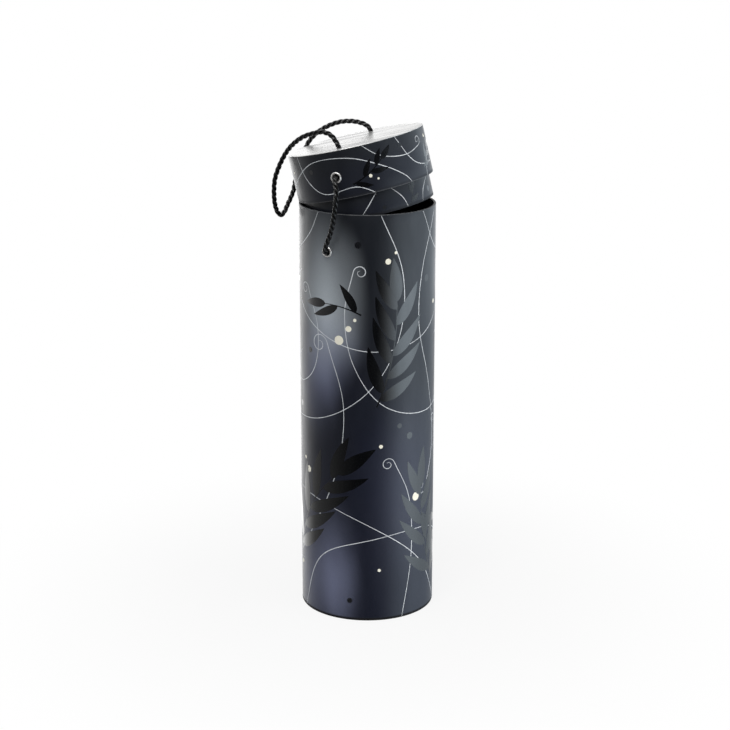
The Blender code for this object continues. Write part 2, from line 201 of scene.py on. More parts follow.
BODY_BERRIES = [
    (-19.0, 194.5, 3.1), (-12.4, 202.6, 2.0), (-8.2, 208.6, 1.1), (36.0, 84.0, 3.0), (28.6, 78.0, 1.5),
    (52.0, 46.5, 1.8), (-47.0, 100.5, 2.3), (-52.0, 107.6, 1.2), (13.5, 247.0, 1.9), (18.8, 252.4, 1.0),
    (9.0, 123.0, 1.3), (8.0, 36.0, 1.1), (58.0, 214.0, 1.5), (-60.0, 30.0, 1.6),
]
BODY_SPRIGS = [
    ((6, 150), 66, 72, 26, 4, 34, 9.0),
    ((-62, 38), 74, 78, -34, 4, 37, 9.5),
    ((58, 18), 118, 74, -30, 4, 33, 8.6),
    ((-100, 206), 34, 36, 34, 2, 24, 6.4),
    ((-4, 212), 152, 26, 30, 1, 22, 6.2),
]
BODY_DARK_DOTS = [
    (-6, 258, 2.2), (30, 128, 2.4), (22, 136, 1.7), (-44, 184, 1.9), (46, 232, 2.4), (64, 66, 2.0),
    (-12, 14, 1.8), (-58, 144, 2.0),
]
LID_TENDRILS = [
    ([(-70, 4), (-48, 18), (-30, 26), (-6, 25), (14, 16), (30, 5), (35, -2)], None),
    ([(2, 33), (15, 22), (33, 18), (48, 21)], (3.4, 1.2, 1)),
    ([(-46, 33), (-40, 16), (-27, 5), (-4, 6), (10, -2)], None),
    ([(80, 28), (64, 18), (54, 8), (51, -2)], None),
    ([(26, 33), (40, 12), (60, 8), (84, 14)], None),
]
LID_BERRIES = [(6.0, 11.0, 1.1), (10.5, 8.2, 0.7), (60.0, 25.0, 1.2), (-56.0, 20.0, 1.0)]
LID_SPRIGS = [((-6, 8), 16, 24, 26, 2, 12.5, 3.8), ((-92, 25), -50, 18, 20, 2, 11, 3.0)]
LID_DARK_DOTS = [(56, 14, 2.2), (-34, 20, 1.5), (30, 25, 1.6)]
NECK_TENDRILS = [
    ([(16, 1), (24, -8), (27, -16)], None),
    ([(54, 1), (44, -7), (40, -16)], None),
    ([(-8, -16), (0, -8), (8, 1)], None),
]
NECK_SPRIGS = [((30, -13), 58, 9, 20, 1, 8, 3.0)]
NECK_DARK_DOTS = [(51, -8.5, 1.9), (10, -11, 1.3)]
BODY_DESIGN = (BODY_TENDRILS, BODY_BERRIES, BODY_SPRIGS, BODY_DARK_DOTS)
LID_DESIGN = (LID_TENDRILS, LID_BERRIES, LID_SPRIGS, LID_DARK_DOTS)
NECK_DESIGN = (NECK_TENDRILS, [], NECK_SPRIGS, NECK_DARK_DOTS)

# Soft light patches of the canister's airbrushed ground: place, reach and strength
CLOUDS = [
    ((-0.0172, -0.0416, 0.213), 0.031, 0.95),
    ((-0.0262, -0.0366, 0.176), 0.026, 0.24),
    ((-0.0265, -0.0363, 0.252), 0.024, 0.09),
    ((-0.0111, -0.0436, 0.042), 0.024, 0.16),
    ((-0.0067, -0.0445, 0.019), 0.019, 0.17),
    ((-0.0279, -0.0354, 0.026), 0.030, 0.24),
    ((0.0333, -0.0303, 0.090), 0.036, 0.065),
    ((0.019, 0.041, 0.070), 0.034, 0.60),
    ((0.008, 0.044, 0.225), 0.028, 0.20),
    ((0.045, 0.004, 0.235), 0.030, 0.12),
]
CLOUD_SQUAT = 0.45

# Height at which a tether is made in two halves, and for each half the bodies and heights that it runs
# between; such a half is tied to no body
TETHER_JOIN = 0.2785
LOWER_BLEND = ("canister", "tethers", (0, 0, 0.2545), (0, 0, 0.2765))
UPPER_BLEND = ("tethers", "lid", (0, 0, 0.2810), (0, 0, 0.2965))
CORD_PHASES = {"front": 0.4, "back": 2.1, "loop": 1.0}

# What gloss sees round the canister: degrees from the camera, to the right, and brightness
SURROUND = [
    (-180, 2.2), (-170, 4.0), (-158, 3.2), (-140, 2.3), (-124, 1.4), (-108, 0.55), (-92, 0.35), (-70, 0.25),
    (-45, 0.10), (-20, 0.02), (18, 0.02), (30, 0.30), (44, 1.4), (58, 2.6), (78, 2.8), (96, 2.1),
    (116, 1.35), (134, 1.0), (150, 1.1), (180, 2.2),
]
SURROUND_PEAK = 4.0

# Lamps: name, place to the right, towards the camera and up, aim height, width, height, power, seen in gloss
LAMPS = [
    ("right_strip", 0.78, 0.45, 0.10, 0.10, 0.50, 0.60, 3.8, False),
    ("right_wall", 0.89, -0.16, 0.10, 0.10, 0.80, 0.60, 2.4, False),
    ("top_panel", -0.10, 0.15, 1.25, 0.15, 0.90, 0.90, 5.6, True),
    ("front_fill", -0.40, 1.10, 1.25, 0.15, 0.90, 0.60, 8.5, True),
]


def a_length(name, description, default):
    return FloatProperty(name=name, description=description, default=default, unit="LENGTH")


def an_angle(name, description, degrees):
    return FloatProperty(name=name, description=description, default=math.radians(degrees), subtype="ANGLE")


def a_colour(name, description, *shade):
    return FloatVectorProperty(
        name=name, description=description, default=shade, subtype="COLOR", min=0, max=1
    )


class BoardSizes(bpy.types.PropertyGroup):
    radius: a_length("Canister radius", "Outside of the printed wrap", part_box("body_wrap")[1].x)
    height: a_length("Canister height", "From the floor to the mouth's rim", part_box("body_wrap")[1].z)
    bore: a_length("Canister bore", "Inside radius of the board tube", 0.0435)
    wrap: a_length("Wrap thickness", "Printed and laminated paper", 0.00025)
    tuck: a_length("Turn-in", "How far the wrap is tucked over an edge", 0.013)
    edge: a_length("Edge rounding", "Radius of a folded paper edge", 0.00035)
    lid_height: a_length("Lid height", "Lid wall, from its lower edge to its top", 0.0312)
    lid_bore: a_length("Lid bore", "Inside radius of the lid's board", 0.0425)
    neck_radius: a_length("Neck radius", "Outside of the neck's wrap", 0.042)
    neck_bore: a_length("Neck bore", "Inside radius of the neck", 0.0405)
    neck_drop: a_length("Neck drop", "How far the neck reaches below the lid", 0.015)
    neck_seat: a_length("Neck seat", "How far the neck reaches up into the lid", 0.009)
    cover: a_length("Cover thickness", "Paper discs on the lid and under the foot", 0.0004)
    cover_setback: a_length("Cover setback", "How far a disc's edge stays inside the wrap", 0.0001)
    seat_gap: a_length("Seat gap", "Between the lid and the line that it turns about", 0.0003)
    glue_gap: a_length("Glue line", "Between glued layers", 0.00004)
    seam_width: a_length("Seam width", "Overlap of the wrap at the back", 0.009)
    seam_rise: a_length("Seam rise", "How far the overlap stands proud", 0.00014)


class CordSizes(bpy.types.PropertyGroup):
    radius: a_length("Cord radius", "Outside of the laid cord", 0.0017)
    strand_share: FloatProperty(
        name="Strand share", description="A strand's radius as a share of the cord's", default=0.45)
    lay: a_length("Lay", "Length of one full turn of the strands", 0.0114)
    strands: IntProperty(name="Strands", description="Strands laid together", default=3)
    strand_sides: IntProperty(name="Strand sides", description="Faces round one strand", default=9)
    step: a_length("Step", "Distance between rings along the cord", 0.0007)
    hole_radius: a_length("Hole radius", "Holes in the lid's top", 0.0019)
    hole_turn: an_angle("Hole turn", "Front hole's place round the lid's top", 266.3)
    hole_reach: a_length("Hole reach", "From the lid's axis to a hole in its top", 0.034)
    body_eyelet_turn: an_angle("Canister eyelet turn", "Front eyelet's place round the canister", 248.5)
    body_eyelet_height: a_length("Canister eyelet height", "Above the floor", 0.252)
    body_eyelet_depth: a_length("Canister eyelet depth", "From the wrap to its inner end", 0.0031)
    lid_eyelet_turn: an_angle("Lid eyelet turn", "Front eyelet's place round the lid", 263.3)
    lid_eyelet_height: a_length("Lid eyelet height", "Above the lid's lower edge", 0.0143)
    lid_eyelet_depth: a_length("Lid eyelet depth", "From the wrap to its inner end", 0.0041)
    flange: a_length("Eyelet flange", "Outside radius of an eyelet", 0.0036)
    crown: a_length("Eyelet crown", "Height of its rolled rim", 0.0007)
    barrel: a_length("Eyelet barrel", "Outside radius of its barrel", 0.00257)
    barrel_wall: a_length("Barrel wall", "Thickness of the eyelet's metal", 0.00016)
    knot_scale: a_length("Knot scale", "Size of the stopper knot's loops", 0.00098)
    knot_cord: a_length("Knot cord", "Radius of the cord where the knot squeezes it", 0.00125)
    tail: a_length("Tail", "Cord left beyond a knot", 0.011)


class PrintSizes(bpy.types.PropertyGroup):
    front: an_angle("Front line", "Direction of the print's middle", -76.26)
    line: a_length("Line width", "Widest part of a printed line", 0.00052)
    ink: a_length("Ink thickness", "Cream ink above the wrap", 0.00002)
    varnish: a_length("Varnish thickness", "Gloss varnish above the wrap", 0.00004)
    sunk: a_length("Bite", "How far ink and varnish sink into the wrap", 0.00001)
    step: a_length("Step", "Distance between rows along a printed shape", 0.0016)


class Colours(bpy.types.PropertyGroup):
    charcoal: a_colour("Charcoal", "Ground of the print, upper part", 0.0092, 0.0110, 0.0155)
    navy: a_colour("Navy", "Ground of the print, lower part", 0.0074, 0.0094, 0.0205)
    haze: a_colour("Haze", "Soft lighter patches in the ground", 0.47, 0.52, 0.565)
    dusk: a_colour("Dusk", "Soft lighter patches, lower part", 0.31, 0.345, 0.53)
    cream: a_colour("Cream", "Berries", 0.95, 0.925, 0.79)
    thread: a_colour("Thread", "Fine printed lines", 0.76, 0.795, 0.83)
    varnish: a_colour("Varnish black", "Gloss sprigs", 0.0014, 0.0018, 0.0026)
    smoke: a_colour("Smoke", "Dark gloss dots", 0.0050, 0.0060, 0.0085)
    silver: a_colour("Silver", "Laminate on the lid's top", 0.80, 0.80, 0.79)
    board: a_colour("Board", "Bare rolled board", 0.055, 0.052, 0.048)
    lining: a_colour("Lining", "Matt paper under the foot", 0.012, 0.012, 0.014)
    nickel: a_colour("Nickel", "Eyelets and washers", 0.90, 0.89, 0.87)
    cord: a_colour("Cord", "Black cord", 0.0014, 0.0014, 0.0016)


class Studio(bpy.types.PropertyGroup):
    camera_azimuth: an_angle("Camera azimuth", "From straight in front, to the right", 13.74)
    camera_distance: a_length("Camera distance", "Level distance from the canister's axis", 1.2)
    camera_height: a_length("Camera height", "Above the floor", 0.507)
    aim_height: a_length("Aim height", "Height that the camera looks at", 0.16623)
    aim_left: a_length("Aim left", "How far left of the axis it looks", 0.00161)
    lens: FloatProperty(name="Lens", description="Focal length in millimetres", default=91.48)
    floor_radius: a_length("Floor radius", "Radius of the pale floor", 0.34)


# Shader maths


def binary(operation, flipped=False):
    """A method that adds a Math node for two values."""

    def method(self, other):
        return self.maths(operation, *((other, self) if flipped else (self, other)))

    return method


class Value:
    """A shader socket. Sums written with it add Math nodes."""

    __add__ = __radd__ = binary("ADD")
    __sub__, __rsub__ = binary("SUBTRACT"), binary("SUBTRACT", flipped=True)
    __mul__ = __rmul__ = binary("MULTIPLY")
    __truediv__, __rtruediv__ = binary("DIVIDE"), binary("DIVIDE", flipped=True)
    __pow__ = binary("POWER")
    arctan2, wrapped = binary("ARCTAN2"), binary("FLOORED_MODULO")
    least, most = binary("MINIMUM"), binary("MAXIMUM")

    def __init__(self, finish, socket):
        self.finish = finish
        self.socket = socket

    def maths(self, operation, first, second=None):
        inputs = {0: first} if second is None else {0: first, 1: second}
        return self.finish.node("ShaderNodeMath", {"operation": operation}, inputs)

    def __neg__(self):
        return self * -1.0

    def absolute(self):
        return self.maths("ABSOLUTE", self)

    def sine(self):
        return self.maths("SINE", self)

    def rising(self, low, high, bottom=0.0, top=1.0):
        """From bottom to top as the value goes from low to high, with soft ends."""
        inputs = {"Value": self, "From Min": low, "From Max": high, "To Min": bottom, "To Max": top}
        return self.finish.node("ShaderNodeMapRange", {"interpolation_type": "SMOOTHSTEP"}, inputs)


class Finish:
    """One node tree, and the one way that nodes are added to it."""

    def __init__(self, tree):
        self.tree = tree

    def node(self, kind, settings=None, inputs=None, output=0):
        made = self.tree.nodes.new(kind)
        for name, value in (settings or {}).items():
            if name == "stops":
                self.set_stops(made.color_ramp, value)
            else:
                setattr(made, name, value)
        for name, value in (inputs or {}).items():
            self.feed(self.find(made.inputs, name), value)
        return Value(self, self.find(made.outputs, output)) if len(made.outputs) else None

    @staticmethod
    def find(sockets, name):
        if isinstance(name, int):
            return sockets[name]
        for socket in sockets:
            if socket.identifier == name or (socket.name == name and socket.enabled):
                return socket
        raise KeyError(f"no socket named {name}")

    @staticmethod
    def set_stops(ramp, stops):
        while len(ramp.elements) < len(stops):
            ramp.elements.new(1.0)
        for element, (place, shade) in zip(ramp.elements, stops):
            element.position = place
            element.color = (shade, shade, shade, 1.0)

    def feed(self, socket, value):
        if isinstance(value, Value):
            self.tree.links.new(value.socket, socket)
        elif hasattr(value, "__len__") and socket.type == "RGBA":
            socket.default_value = (*value[:3], 1.0)
        else:
            socket.default_value = value

    def place(self, laid=None):
        """Object coordinates, or those that a piece had before it was laid in its place."""
        spot = self.node("ShaderNodeTexCoord", output="Object")
        if laid is None:
            return spot
        inputs = {"Vector": spot, "Location": laid.to_translation(), "Rotation": laid.to_euler()}
        return self.node("ShaderNodeMapping", {"vector_type": "TEXTURE"}, inputs)

    def parts(self, spot):
        split = self.node("ShaderNodeSeparateXYZ", None, {0: spot})
        return [Value(self, output) for output in split.socket.node.outputs]

    def joined(self, x, y, z):
        return self.node("ShaderNodeCombineXYZ", None, {0: x, 1: y, 2: z})

    def vectors(self, operation, first, second, output=0):
        return self.node("ShaderNodeVectorMath", {"operation": operation}, {0: first, 1: second}, output)

    def noise(self, spot, scale, detail, roughness, stretch=None):
        if stretch:
            spot = self.vectors("MULTIPLY", spot, stretch)
        inputs = {"Vector": spot, "Scale": scale, "Detail": detail, "Roughness": roughness}
        return self.node("ShaderNodeTexNoise", None, inputs, "Fac")

    def mixed(self, share, first, second):
        inputs = {"Factor_Float": share, "A_Color": first, "B_Color": second}
        return self.node("ShaderNodeMix", {"data_type": "RGBA"}, inputs, "Result_Color")

    def bump(self, height, distance, strength=1.0, normal=None):
        inputs = {"Height": height, "Distance": distance, "Strength": strength}
        if normal is not None:
            inputs["Normal"] = normal
        return self.node("ShaderNodeBump", None, inputs)


def material(**flat):
    """Makes a function that paints nodes into one that makes a named material, with flat sockets set."""

    def wrapped(paint):
        def make(name, *choices, **options):
            made = bpy.data.materials.new(name)
            made.use_nodes = True
            finish = Finish(made.node_tree)
            shader = made.node_tree.nodes["Principled BSDF"]
            for socket, value in flat.items():
                finish.feed(shader.inputs[socket.replace("_", " ")], value)
            for socket, value in paint(finish, *choices, **options).items():
                finish.feed(shader.inputs[socket], value)
            return made

        return make

    return wrapped


@material(Specular_IOR_Level=0.42)
def printed_paper(
    finish, colours, foot, top, laid=None, clouds=(), navy_share=1.0, hem_shade_share=0.95, fold_wear=0.0
):
    """Laminated print: airbrushed charcoal turning to navy, with clouds, scuffs, paper grain and a painted
    shade along its lower edge.
    """
    spot = finish.place(laid)
    z = finish.parts(spot)[2]
    drift = finish.noise(spot, 24.0, 2.0, 0.5, (1.0, 1.0, 0.4))
    speckle = finish.noise(spot, 1500.0, 2.0, 0.6)
    depth = z.rising(top, foot)
    navy = (depth + drift * 1.1 - 0.55).rising(0.0, 0.75) * navy_share
    ground = finish.mixed(navy, colours.charcoal, colours.navy)
    haze = drift.rising(0.45, 0.80) * 0.017
    for place, reach, strength in clouds:
        middle = (place[0], place[1], place[2] * CLOUD_SQUAT)
        squat = finish.vectors("MULTIPLY", spot, (1.0, 1.0, CLOUD_SQUAT))
        away = finish.vectors("DISTANCE", squat, middle, "Value")
        haze = haze + (away + (drift - 0.5) * 0.022).rising(reach, 0.0) * strength
    haze = (haze * (speckle * 0.24 + 0.88)).least(1.0)
    tint = z.rising(foot + 0.80 * (top - foot), foot + 0.54 * (top - foot))
    ground = finish.mixed(haze, ground, finish.mixed(tint, colours.haze, colours.dusk))
    rim = (z - top).absolute().rising(0.0007, 0.0001)
    scuffs = finish.noise(spot, 900.0, 4.0, 0.7).rising(0.40, 0.70)
    ground = finish.mixed(rim * (scuffs * 0.5 + 0.1), ground, (0.20, 0.205, 0.21))
    # Painted shade: the lowest couple of millimetres turn near black, for the shadow along the lower edge,
    # and are also made rougher
    painted_hem_shade = (z - foot).rising(0.0024, 0.0012)
    ground = finish.mixed(painted_hem_shade * hem_shade_share, ground, (0.001, 0.001, 0.001))
    fold = (z - foot).absolute().rising(0.0007, 0.0001)
    ground = finish.mixed(fold * (scuffs * 0.4 + 0.6) * fold_wear, ground, (0.20, 0.205, 0.21))
    grain = finish.noise(spot, 2600.0, 2.0, 0.6)
    rubbed = finish.noise(spot, 95.0, 4.0, 0.6, (1.0, 1.0, 0.3))
    gloss = rubbed.rising(0.30, 0.72, 0.35, 0.43) + grain * 0.03 + rim * scuffs * 0.12
    gloss = gloss + painted_hem_shade * (0.4 * hem_shade_share)
    waves = finish.noise(spot, 60.0, 1.0, 0.4, (1.0, 1.0, 0.18))
    normal = finish.bump(waves, 0.00035, 0.5)
    normal = finish.bump(grain, 0.000010, 0.6, normal)
    return {"Base Color": ground, "Roughness": gloss, "Normal": normal}


@material(Specular_IOR_Level=0.92)
def gloss_varnish(finish, shade, low, high):
    """Spot varnish: dark and bright-shining, its gloss wandering between two roughnesses."""
    spot = finish.place()
    peel = finish.noise(spot, 520.0, 2.0, 0.5)
    dust = finish.noise(spot, 1900.0, 3.0, 0.7).rising(0.6, 0.8)
    streaks = finish.noise(spot, 150.0, 3.0, 0.6, (1.0, 1.0, 0.25))
    tone = finish.mixed(dust * 0.25, shade, (0.013, 0.016, 0.021))
    return {
        "Base Color": tone,
        "Roughness": streaks.rising(0.3, 0.7, low, high) + dust * 0.1,
        "Normal": finish.bump(peel, 0.00003, 0.35),
    }


@material()
def opaque_ink(finish, shade, thin_shade):
    """Pale ink, a little thin in places."""
    spot = finish.place()
    thin = finish.noise(spot, 150.0, 3.0, 0.6).rising(0.34, 0.66, 0.26, 0.0)
    speck = finish.noise(spot, 2400.0, 2.0, 0.6)
    tone = finish.mixed(thin, shade, thin_shade)
    return {
        "Base Color": tone,
        "Roughness": 0.42 + speck * 0.12,
        "Normal": finish.bump(speck, 0.00001, 0.4),
    }


@material(Metallic=0.55)
def silver_laminate(finish, colours, laid):
    """Bright laminated paper with faint brushing and fine handling marks."""
    spot = finish.place(laid)
    brushed = finish.noise(spot, 1500.0, 3.0, 0.6, (0.06, 1.0, 1.0))
    marks = finish.noise(spot, 120.0, 4.0, 0.65)
    streaks = finish.noise(spot, 95.0, 2.0, 0.5, (0.14, 1.0, 1.0)).rising(0.46, 0.62)
    shade = finish.mixed(marks.rising(0.35, 0.75) * 0.2, colours.silver, (0.62, 0.62, 0.63))
    shade = finish.mixed(streaks * 0.6, shade, (0.36, 0.36, 0.37))
    ripples = finish.noise(spot, 38.0, 1.0, 0.4, (0.2, 1.0, 1.0))
    normal = finish.bump(ripples, 0.00035, 0.5)
    return {
        "Base Color": shade,
        "Roughness": 0.16 + brushed * 0.05 + marks.rising(0.45, 0.8) * 0.05 + streaks * 0.10,
        "Normal": finish.bump(marks, 0.00003, 0.12, normal),
    }


@material(Specular_IOR_Level=0.3)
def rolled_board(finish, colours, laid=None):
    """Spiral-wound grey board: ply seams, fibres and flecks."""
    spot = finish.place(laid)
    x, y, z = finish.parts(spot)
    turn = y.arctan2(x) / (2.0 * math.pi)
    ply = (z / 0.062 + turn).wrapped(1.0)
    seam = (ply - 0.5).absolute().rising(0.010, 0.003)
    fibre = finish.noise(spot, 1300.0, 4.0, 0.7, (1.0, 1.0, 0.35))
    flecks = finish.noise(spot, 620.0, 2.0, 0.5).rising(0.66, 0.74)
    tone = finish.noise(spot, 28.0, 2.0, 0.5)
    shade = finish.mixed(fibre * 0.6 + tone * 0.3, colours.board, (0.105, 0.098, 0.088))
    shade = finish.mixed(flecks * 0.5, shade, (0.20, 0.18, 0.15))
    shade = finish.mixed(seam * 0.7, shade, (0.015, 0.014, 0.013))
    return {
        "Base Color": shade,
        "Roughness": 0.82 + fibre * 0.14,
        "Normal": finish.bump(fibre - seam * 2.0, 0.00006, 0.7),
    }


@material(Specular_IOR_Level=0.3)
def lining_paper(finish, colours):
    """Matt black lining paper with a soft tooth."""
    spot = finish.place()
    tooth = finish.noise(spot, 1700.0, 4.0, 0.7)
    worn = finish.noise(spot, 85.0, 4.0, 0.6).rising(0.55, 0.8)
    shade = finish.mixed(worn * 0.5 + tooth * 0.15, colours.lining, (0.035, 0.035, 0.037))
    return {
        "Base Color": shade,
        "Roughness": 0.72 + tooth * 0.15,
        "Normal": finish.bump(tooth, 0.00003, 0.6),
    }


@material(Metallic=0.65)
def nickel_plate(finish, colours):
    """Bright nickel with fine handling scratches."""
    spot = finish.place()
    scratch = finish.noise(spot, 2100.0, 3.0, 0.6, (1.0, 6.0, 1.0))
    dull = finish.noise(spot, 700.0, 2.0, 0.5)
    shade = finish.mixed(dull * 0.3, colours.nickel, (0.68, 0.67, 0.65))
    return {
        "Base Color": shade,
        "Roughness": 0.30 + scratch.rising(0.5, 0.8) * 0.14,
        "Normal": finish.bump(scratch, 0.00001, 0.3),
    }


@material(Specular_IOR_Level=0.22, Coat_Roughness=0.13)
def cord_yarn(finish, colours):
    """Black yarn: fine filaments along each strand, and a satin shine on the strands' outer crests."""
    around, along, _ = finish.parts(finish.node("ShaderNodeUVMap", {"uv_map": "strand"}))
    lean = around * 5.0 + along * 1.4
    thread = finish.noise(finish.joined(lean * 3.4, along * 0.55, 0.0), 2.2, 3.0, 0.6)
    ridge = (lean * (2.0 * math.pi)).sine() * 0.5 + 0.5
    fuzz = finish.noise(finish.joined(around * 30.0, along * 9.0, 0.0), 1.0, 4.0, 0.7)
    crest = (around - 0.5).absolute().rising(0.30, 0.45)
    shade = finish.mixed(thread.rising(0.45, 0.8) * 0.6, colours.cord, (0.010, 0.010, 0.011))
    return {
        "Base Color": shade,
        "Roughness": 0.40 + fuzz * 0.16,
        "Coat Weight": crest * (0.6 + thread * 0.2),
        "Normal": finish.bump(ridge * 0.5 + thread * 0.6, 0.00010, 0.4),
    }


# Making pieces


def lid_place(sizes):
    """Where the lid's own frame, with its origin at the middle of its lower edge, lies."""
    seat = Vector((-HINGE.x, 0, sizes.seat_gap - (HINGE.z - sizes.height)))
    return Matrix.Translation(HINGE) @ Matrix.Rotation(-LID_LEAN, 4, "Y") @ Matrix.Translation(seat)


def picked(piece):
    """Selects one piece alone."""
    bpy.ops.object.select_all(action="DESELECT")
    bpy.context.view_layer.objects.active = piece
    piece.select_set(True)


def made_piece(name):
    piece = bpy.context.active_object
    piece.name = piece.data.name = name
    return piece


def arc(centre, radius, start_deg, end_deg):
    """Outline points along an arc, in (radius, height)."""
    points = []
    for step in range(ARC_STEPS + 1):
        angle = math.radians(start_deg + (end_deg - start_deg) * step / ARC_STEPS)
        points.append((centre[0] + radius * math.cos(angle), centre[1] + radius * math.sin(angle)))
    return points


def turned(name, outline, sides=WRAP_SIDES, capped=False):
    """A turned piece: a circle, extruded and resized along a closed (radius, height) outline.

    A capped piece has both ends of an open outline filled instead.
    """
    (radius, height), rest = outline[0], outline[1:]
    bpy.ops.mesh.primitive_circle_add(vertices=sides, radius=radius, location=(0, 0, height))
    piece = made_piece(name)
    bpy.ops.object.transform_apply(location=True, rotation=False, scale=False)
    bpy.ops.object.mode_set(mode="EDIT")
    bpy.ops.mesh.select_all(action="SELECT")
    if capped:
        bpy.ops.mesh.edge_face_add()
        bpy.ops.mesh.select_all(action="SELECT")
    for next_radius, next_height in rest if capped else rest + [outline[0]]:
        rise = {"value": (0, 0, next_height - height)}
        if capped:
            bpy.ops.mesh.extrude_region_move(TRANSFORM_OT_translate=rise)
        else:
            bpy.ops.mesh.extrude_edges_move(TRANSFORM_OT_translate=rise)
        share = next_radius / radius
        bpy.ops.transform.resize(value=(share, share, 1), center_override=(0, 0, next_height))
        radius, height = next_radius, next_height
    bpy.ops.mesh.select_all(action="SELECT")
    bpy.ops.mesh.remove_doubles(threshold=MERGE_DISTANCE)
    bpy.ops.mesh.normals_make_consistent(inside=False)
    bpy.ops.object.mode_set(mode="OBJECT")
    return piece


def bored(piece, centre, direction, radius, depth):
    """Cuts a round hole through a piece."""
    turn = Vector(direction).to_track_quat("Z", "Y").to_euler()
    bpy.ops.mesh.primitive_cylinder_add(
        vertices=HOLE_SIDES, radius=radius, depth=depth, location=centre, rotation=turn
    )
    drill = bpy.context.active_object
    hole = piece.modifiers.new("hole", "BOOLEAN")
    hole.operation = "DIFFERENCE"
    hole.solver = "EXACT"
    hole.object = drill
    picked(piece)
    bpy.ops.object.modifier_apply(modifier=hole.name)
    bpy.data.objects.remove(drill)


def eyelet_holes(piece, turn, height, cords, sizes):
    """Cuts both holes of a pair of eyelets, straight through the axis."""
    across = (math.cos(turn), math.sin(turn), 0)
    bored(piece, (0, 0, height), across, cords.barrel * HOLE_EASE, 3 * sizes.radius)


def paper_disc(name, radius, low, high, soft):
    """A disc with a softly rounded edge."""
    outline = [(radius * FLAT_SHARE, low)]
    outline += arc((radius - soft, low + soft), soft, -90, 0)
    outline += arc((radius - soft, high - soft), soft, 0, 90)
    outline += [(radius * FLAT_SHARE, high)]
    return turned(name, outline, capped=True)


def painted(piece, finish):
    piece.data.materials.clear()
    piece.data.materials.append(finish)


def coated(node, finish):
    """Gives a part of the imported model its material."""
    painted(frame["nodes"][node], finish)


def finished(piece, finish, body, nodes=(), laid=None):
    """Lays a piece in its place, shades it, gives it its material, ties it to its body or leaves it free
    when it runs between two, and hides the parts that it stands for.
    """
    picked(piece)
    if laid is not None:
        piece.data.transform(laid)
    bpy.ops.object.shade_smooth_by_angle(angle=SMOOTH_ANGLE)
    painted(piece, finish)
    if isinstance(body, tuple):
        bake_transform(piece)
    else:
        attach(piece, body)
    if nodes:
        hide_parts(*nodes)
    piece.select_set(False)
    return piece


def built(name, vertices, faces, maps=()):
    """A mesh piece from worked-out points, with a map for each face of a strand."""
    mesh = bpy.data.meshes.new(name)
    mesh.from_pydata(vertices, [], faces)
    if maps:
        layer = mesh.uv_layers.new(name="strand")
        for polygon, corners in zip(mesh.polygons, maps):
            for loop, corner in zip(polygon.loop_indices, corners):
                layer.data[loop].uv = corner
    shape = bmesh.new()
    shape.from_mesh(mesh)
    bmesh.ops.recalc_face_normals(shape, faces=shape.faces)
    shape.to_mesh(mesh)
    shape.free()
    piece = bpy.data.objects.new(name, mesh)
    bpy.context.scene.collection.objects.link(piece)
    return piece


# Print shapes


def smooth_line(points, step):
    """Even points along a smooth curve through the given ones."""
    points = [Vector(p) for p in points]
    fine = []
    for i in range(len(points) - 1):
        before = points[max(i - 1, 0)]
        start, end = points[i], points[i + 1]
        after = points[min(i + 2, len(points) - 1)]
        span = (end - start).length
        pull = (end - before).normalized() * span / 3
        push = (after - start).normalized() * span / 3
        run = interpolate_bezier(start, start + pull, end - push, end, CURVE_SAMPLES)
        fine += run if i == 0 else run[1:]
    reach = [0.0]
    for a, b in zip(fine, fine[1:]):
        reach.append(reach[-1] + (b - a).length)
    count = max(2, math.ceil(reach[-1] / step))
    spread = []
    at = 0
    for i in range(count + 1):
        want = reach[-1] * i / count
        while at < len(fine) - 2 and reach[at + 1] < want:
            at += 1
        share = (want - reach[at]) / (reach[at + 1] - reach[at])
        spread.append(fine[at].lerp(fine[at + 1], share))
    return spread


def heading_vector(degrees):
    return Vector((math.cos(math.radians(degrees)), math.sin(math.radians(degrees))))


def curled(points, curl):
    """A tendril's points, with a curl that winds in from its last point."""
    points = [Vector(p) * MM for p in points]
    if curl is None:
        return points
    radius, turns, side = curl
    ahead = (points[-1] - points[-2]).normalized()
    across = Vector((-ahead.y, ahead.x)) * side
    centre = points[-1] + across * radius * MM
    start = math.atan2(-across.y, -across.x)
    steps = round(turns * CURL_STEPS)
    for step in range(1, steps + 1):
        share = step / steps
        angle = start + side * 2 * math.pi * turns * share
        reach = radius * MM * (1 - CURL_SHRINK * share)
        points.append(centre + Vector((math.cos(angle), math.sin(angle))) * reach)
    return points


def tendril_strip(points, curl, sizes):
    line = smooth_line([(*p, 0) for p in curled(points, curl)], sizes.step)
    last = len(line) - 1
    halves = []
    for i in range(last + 1):
        share = i / last
        ends = min(share, 1 - share) * last * sizes.step
        taper = min(1.0, LINE_TIP_SHARE + ends / LINE_TAPER)
        swell = 1 + LINE_SWELL * (math.sin(LINE_WAVES * share + len(points)) - 1)
        halves.append(sizes.line / 2 * taper * swell)
    return line, halves, 1


def leaf_strip(foot, heading, length, width, bend, sizes):
    """A slim pointed leaf that bends a little along its length."""
    rows = max(8, round(length / sizes.step))
    line, halves = [Vector((*foot, 0))], []
    for i in range(rows):
        turn = heading + bend * (i + 0.5) / rows
        step = heading_vector(turn) * length / rows
        line.append(line[-1] + Vector((*step, 0)))
    for i in range(rows + 1):
        share = i / rows
        swell = math.sin(math.pi * share**LEAF_BELLY) ** LEAF_FULLNESS
        halves.append(max(width / 2 * swell, sizes.line / TIP_PART))
    return line, halves, LEAF_COLUMNS


def dot_strip(u, v, radius, sizes):
    line, halves = [], []
    for i in range(DOT_ROWS + 1):
        angle = math.pi * i / DOT_ROWS
        line.append(Vector((u * MM, (v - radius * math.cos(angle)) * MM, 0)))
        halves.append(max(radius * MM * math.sin(angle), sizes.line / TIP_PART))
    return line, halves, DOT_COLUMNS


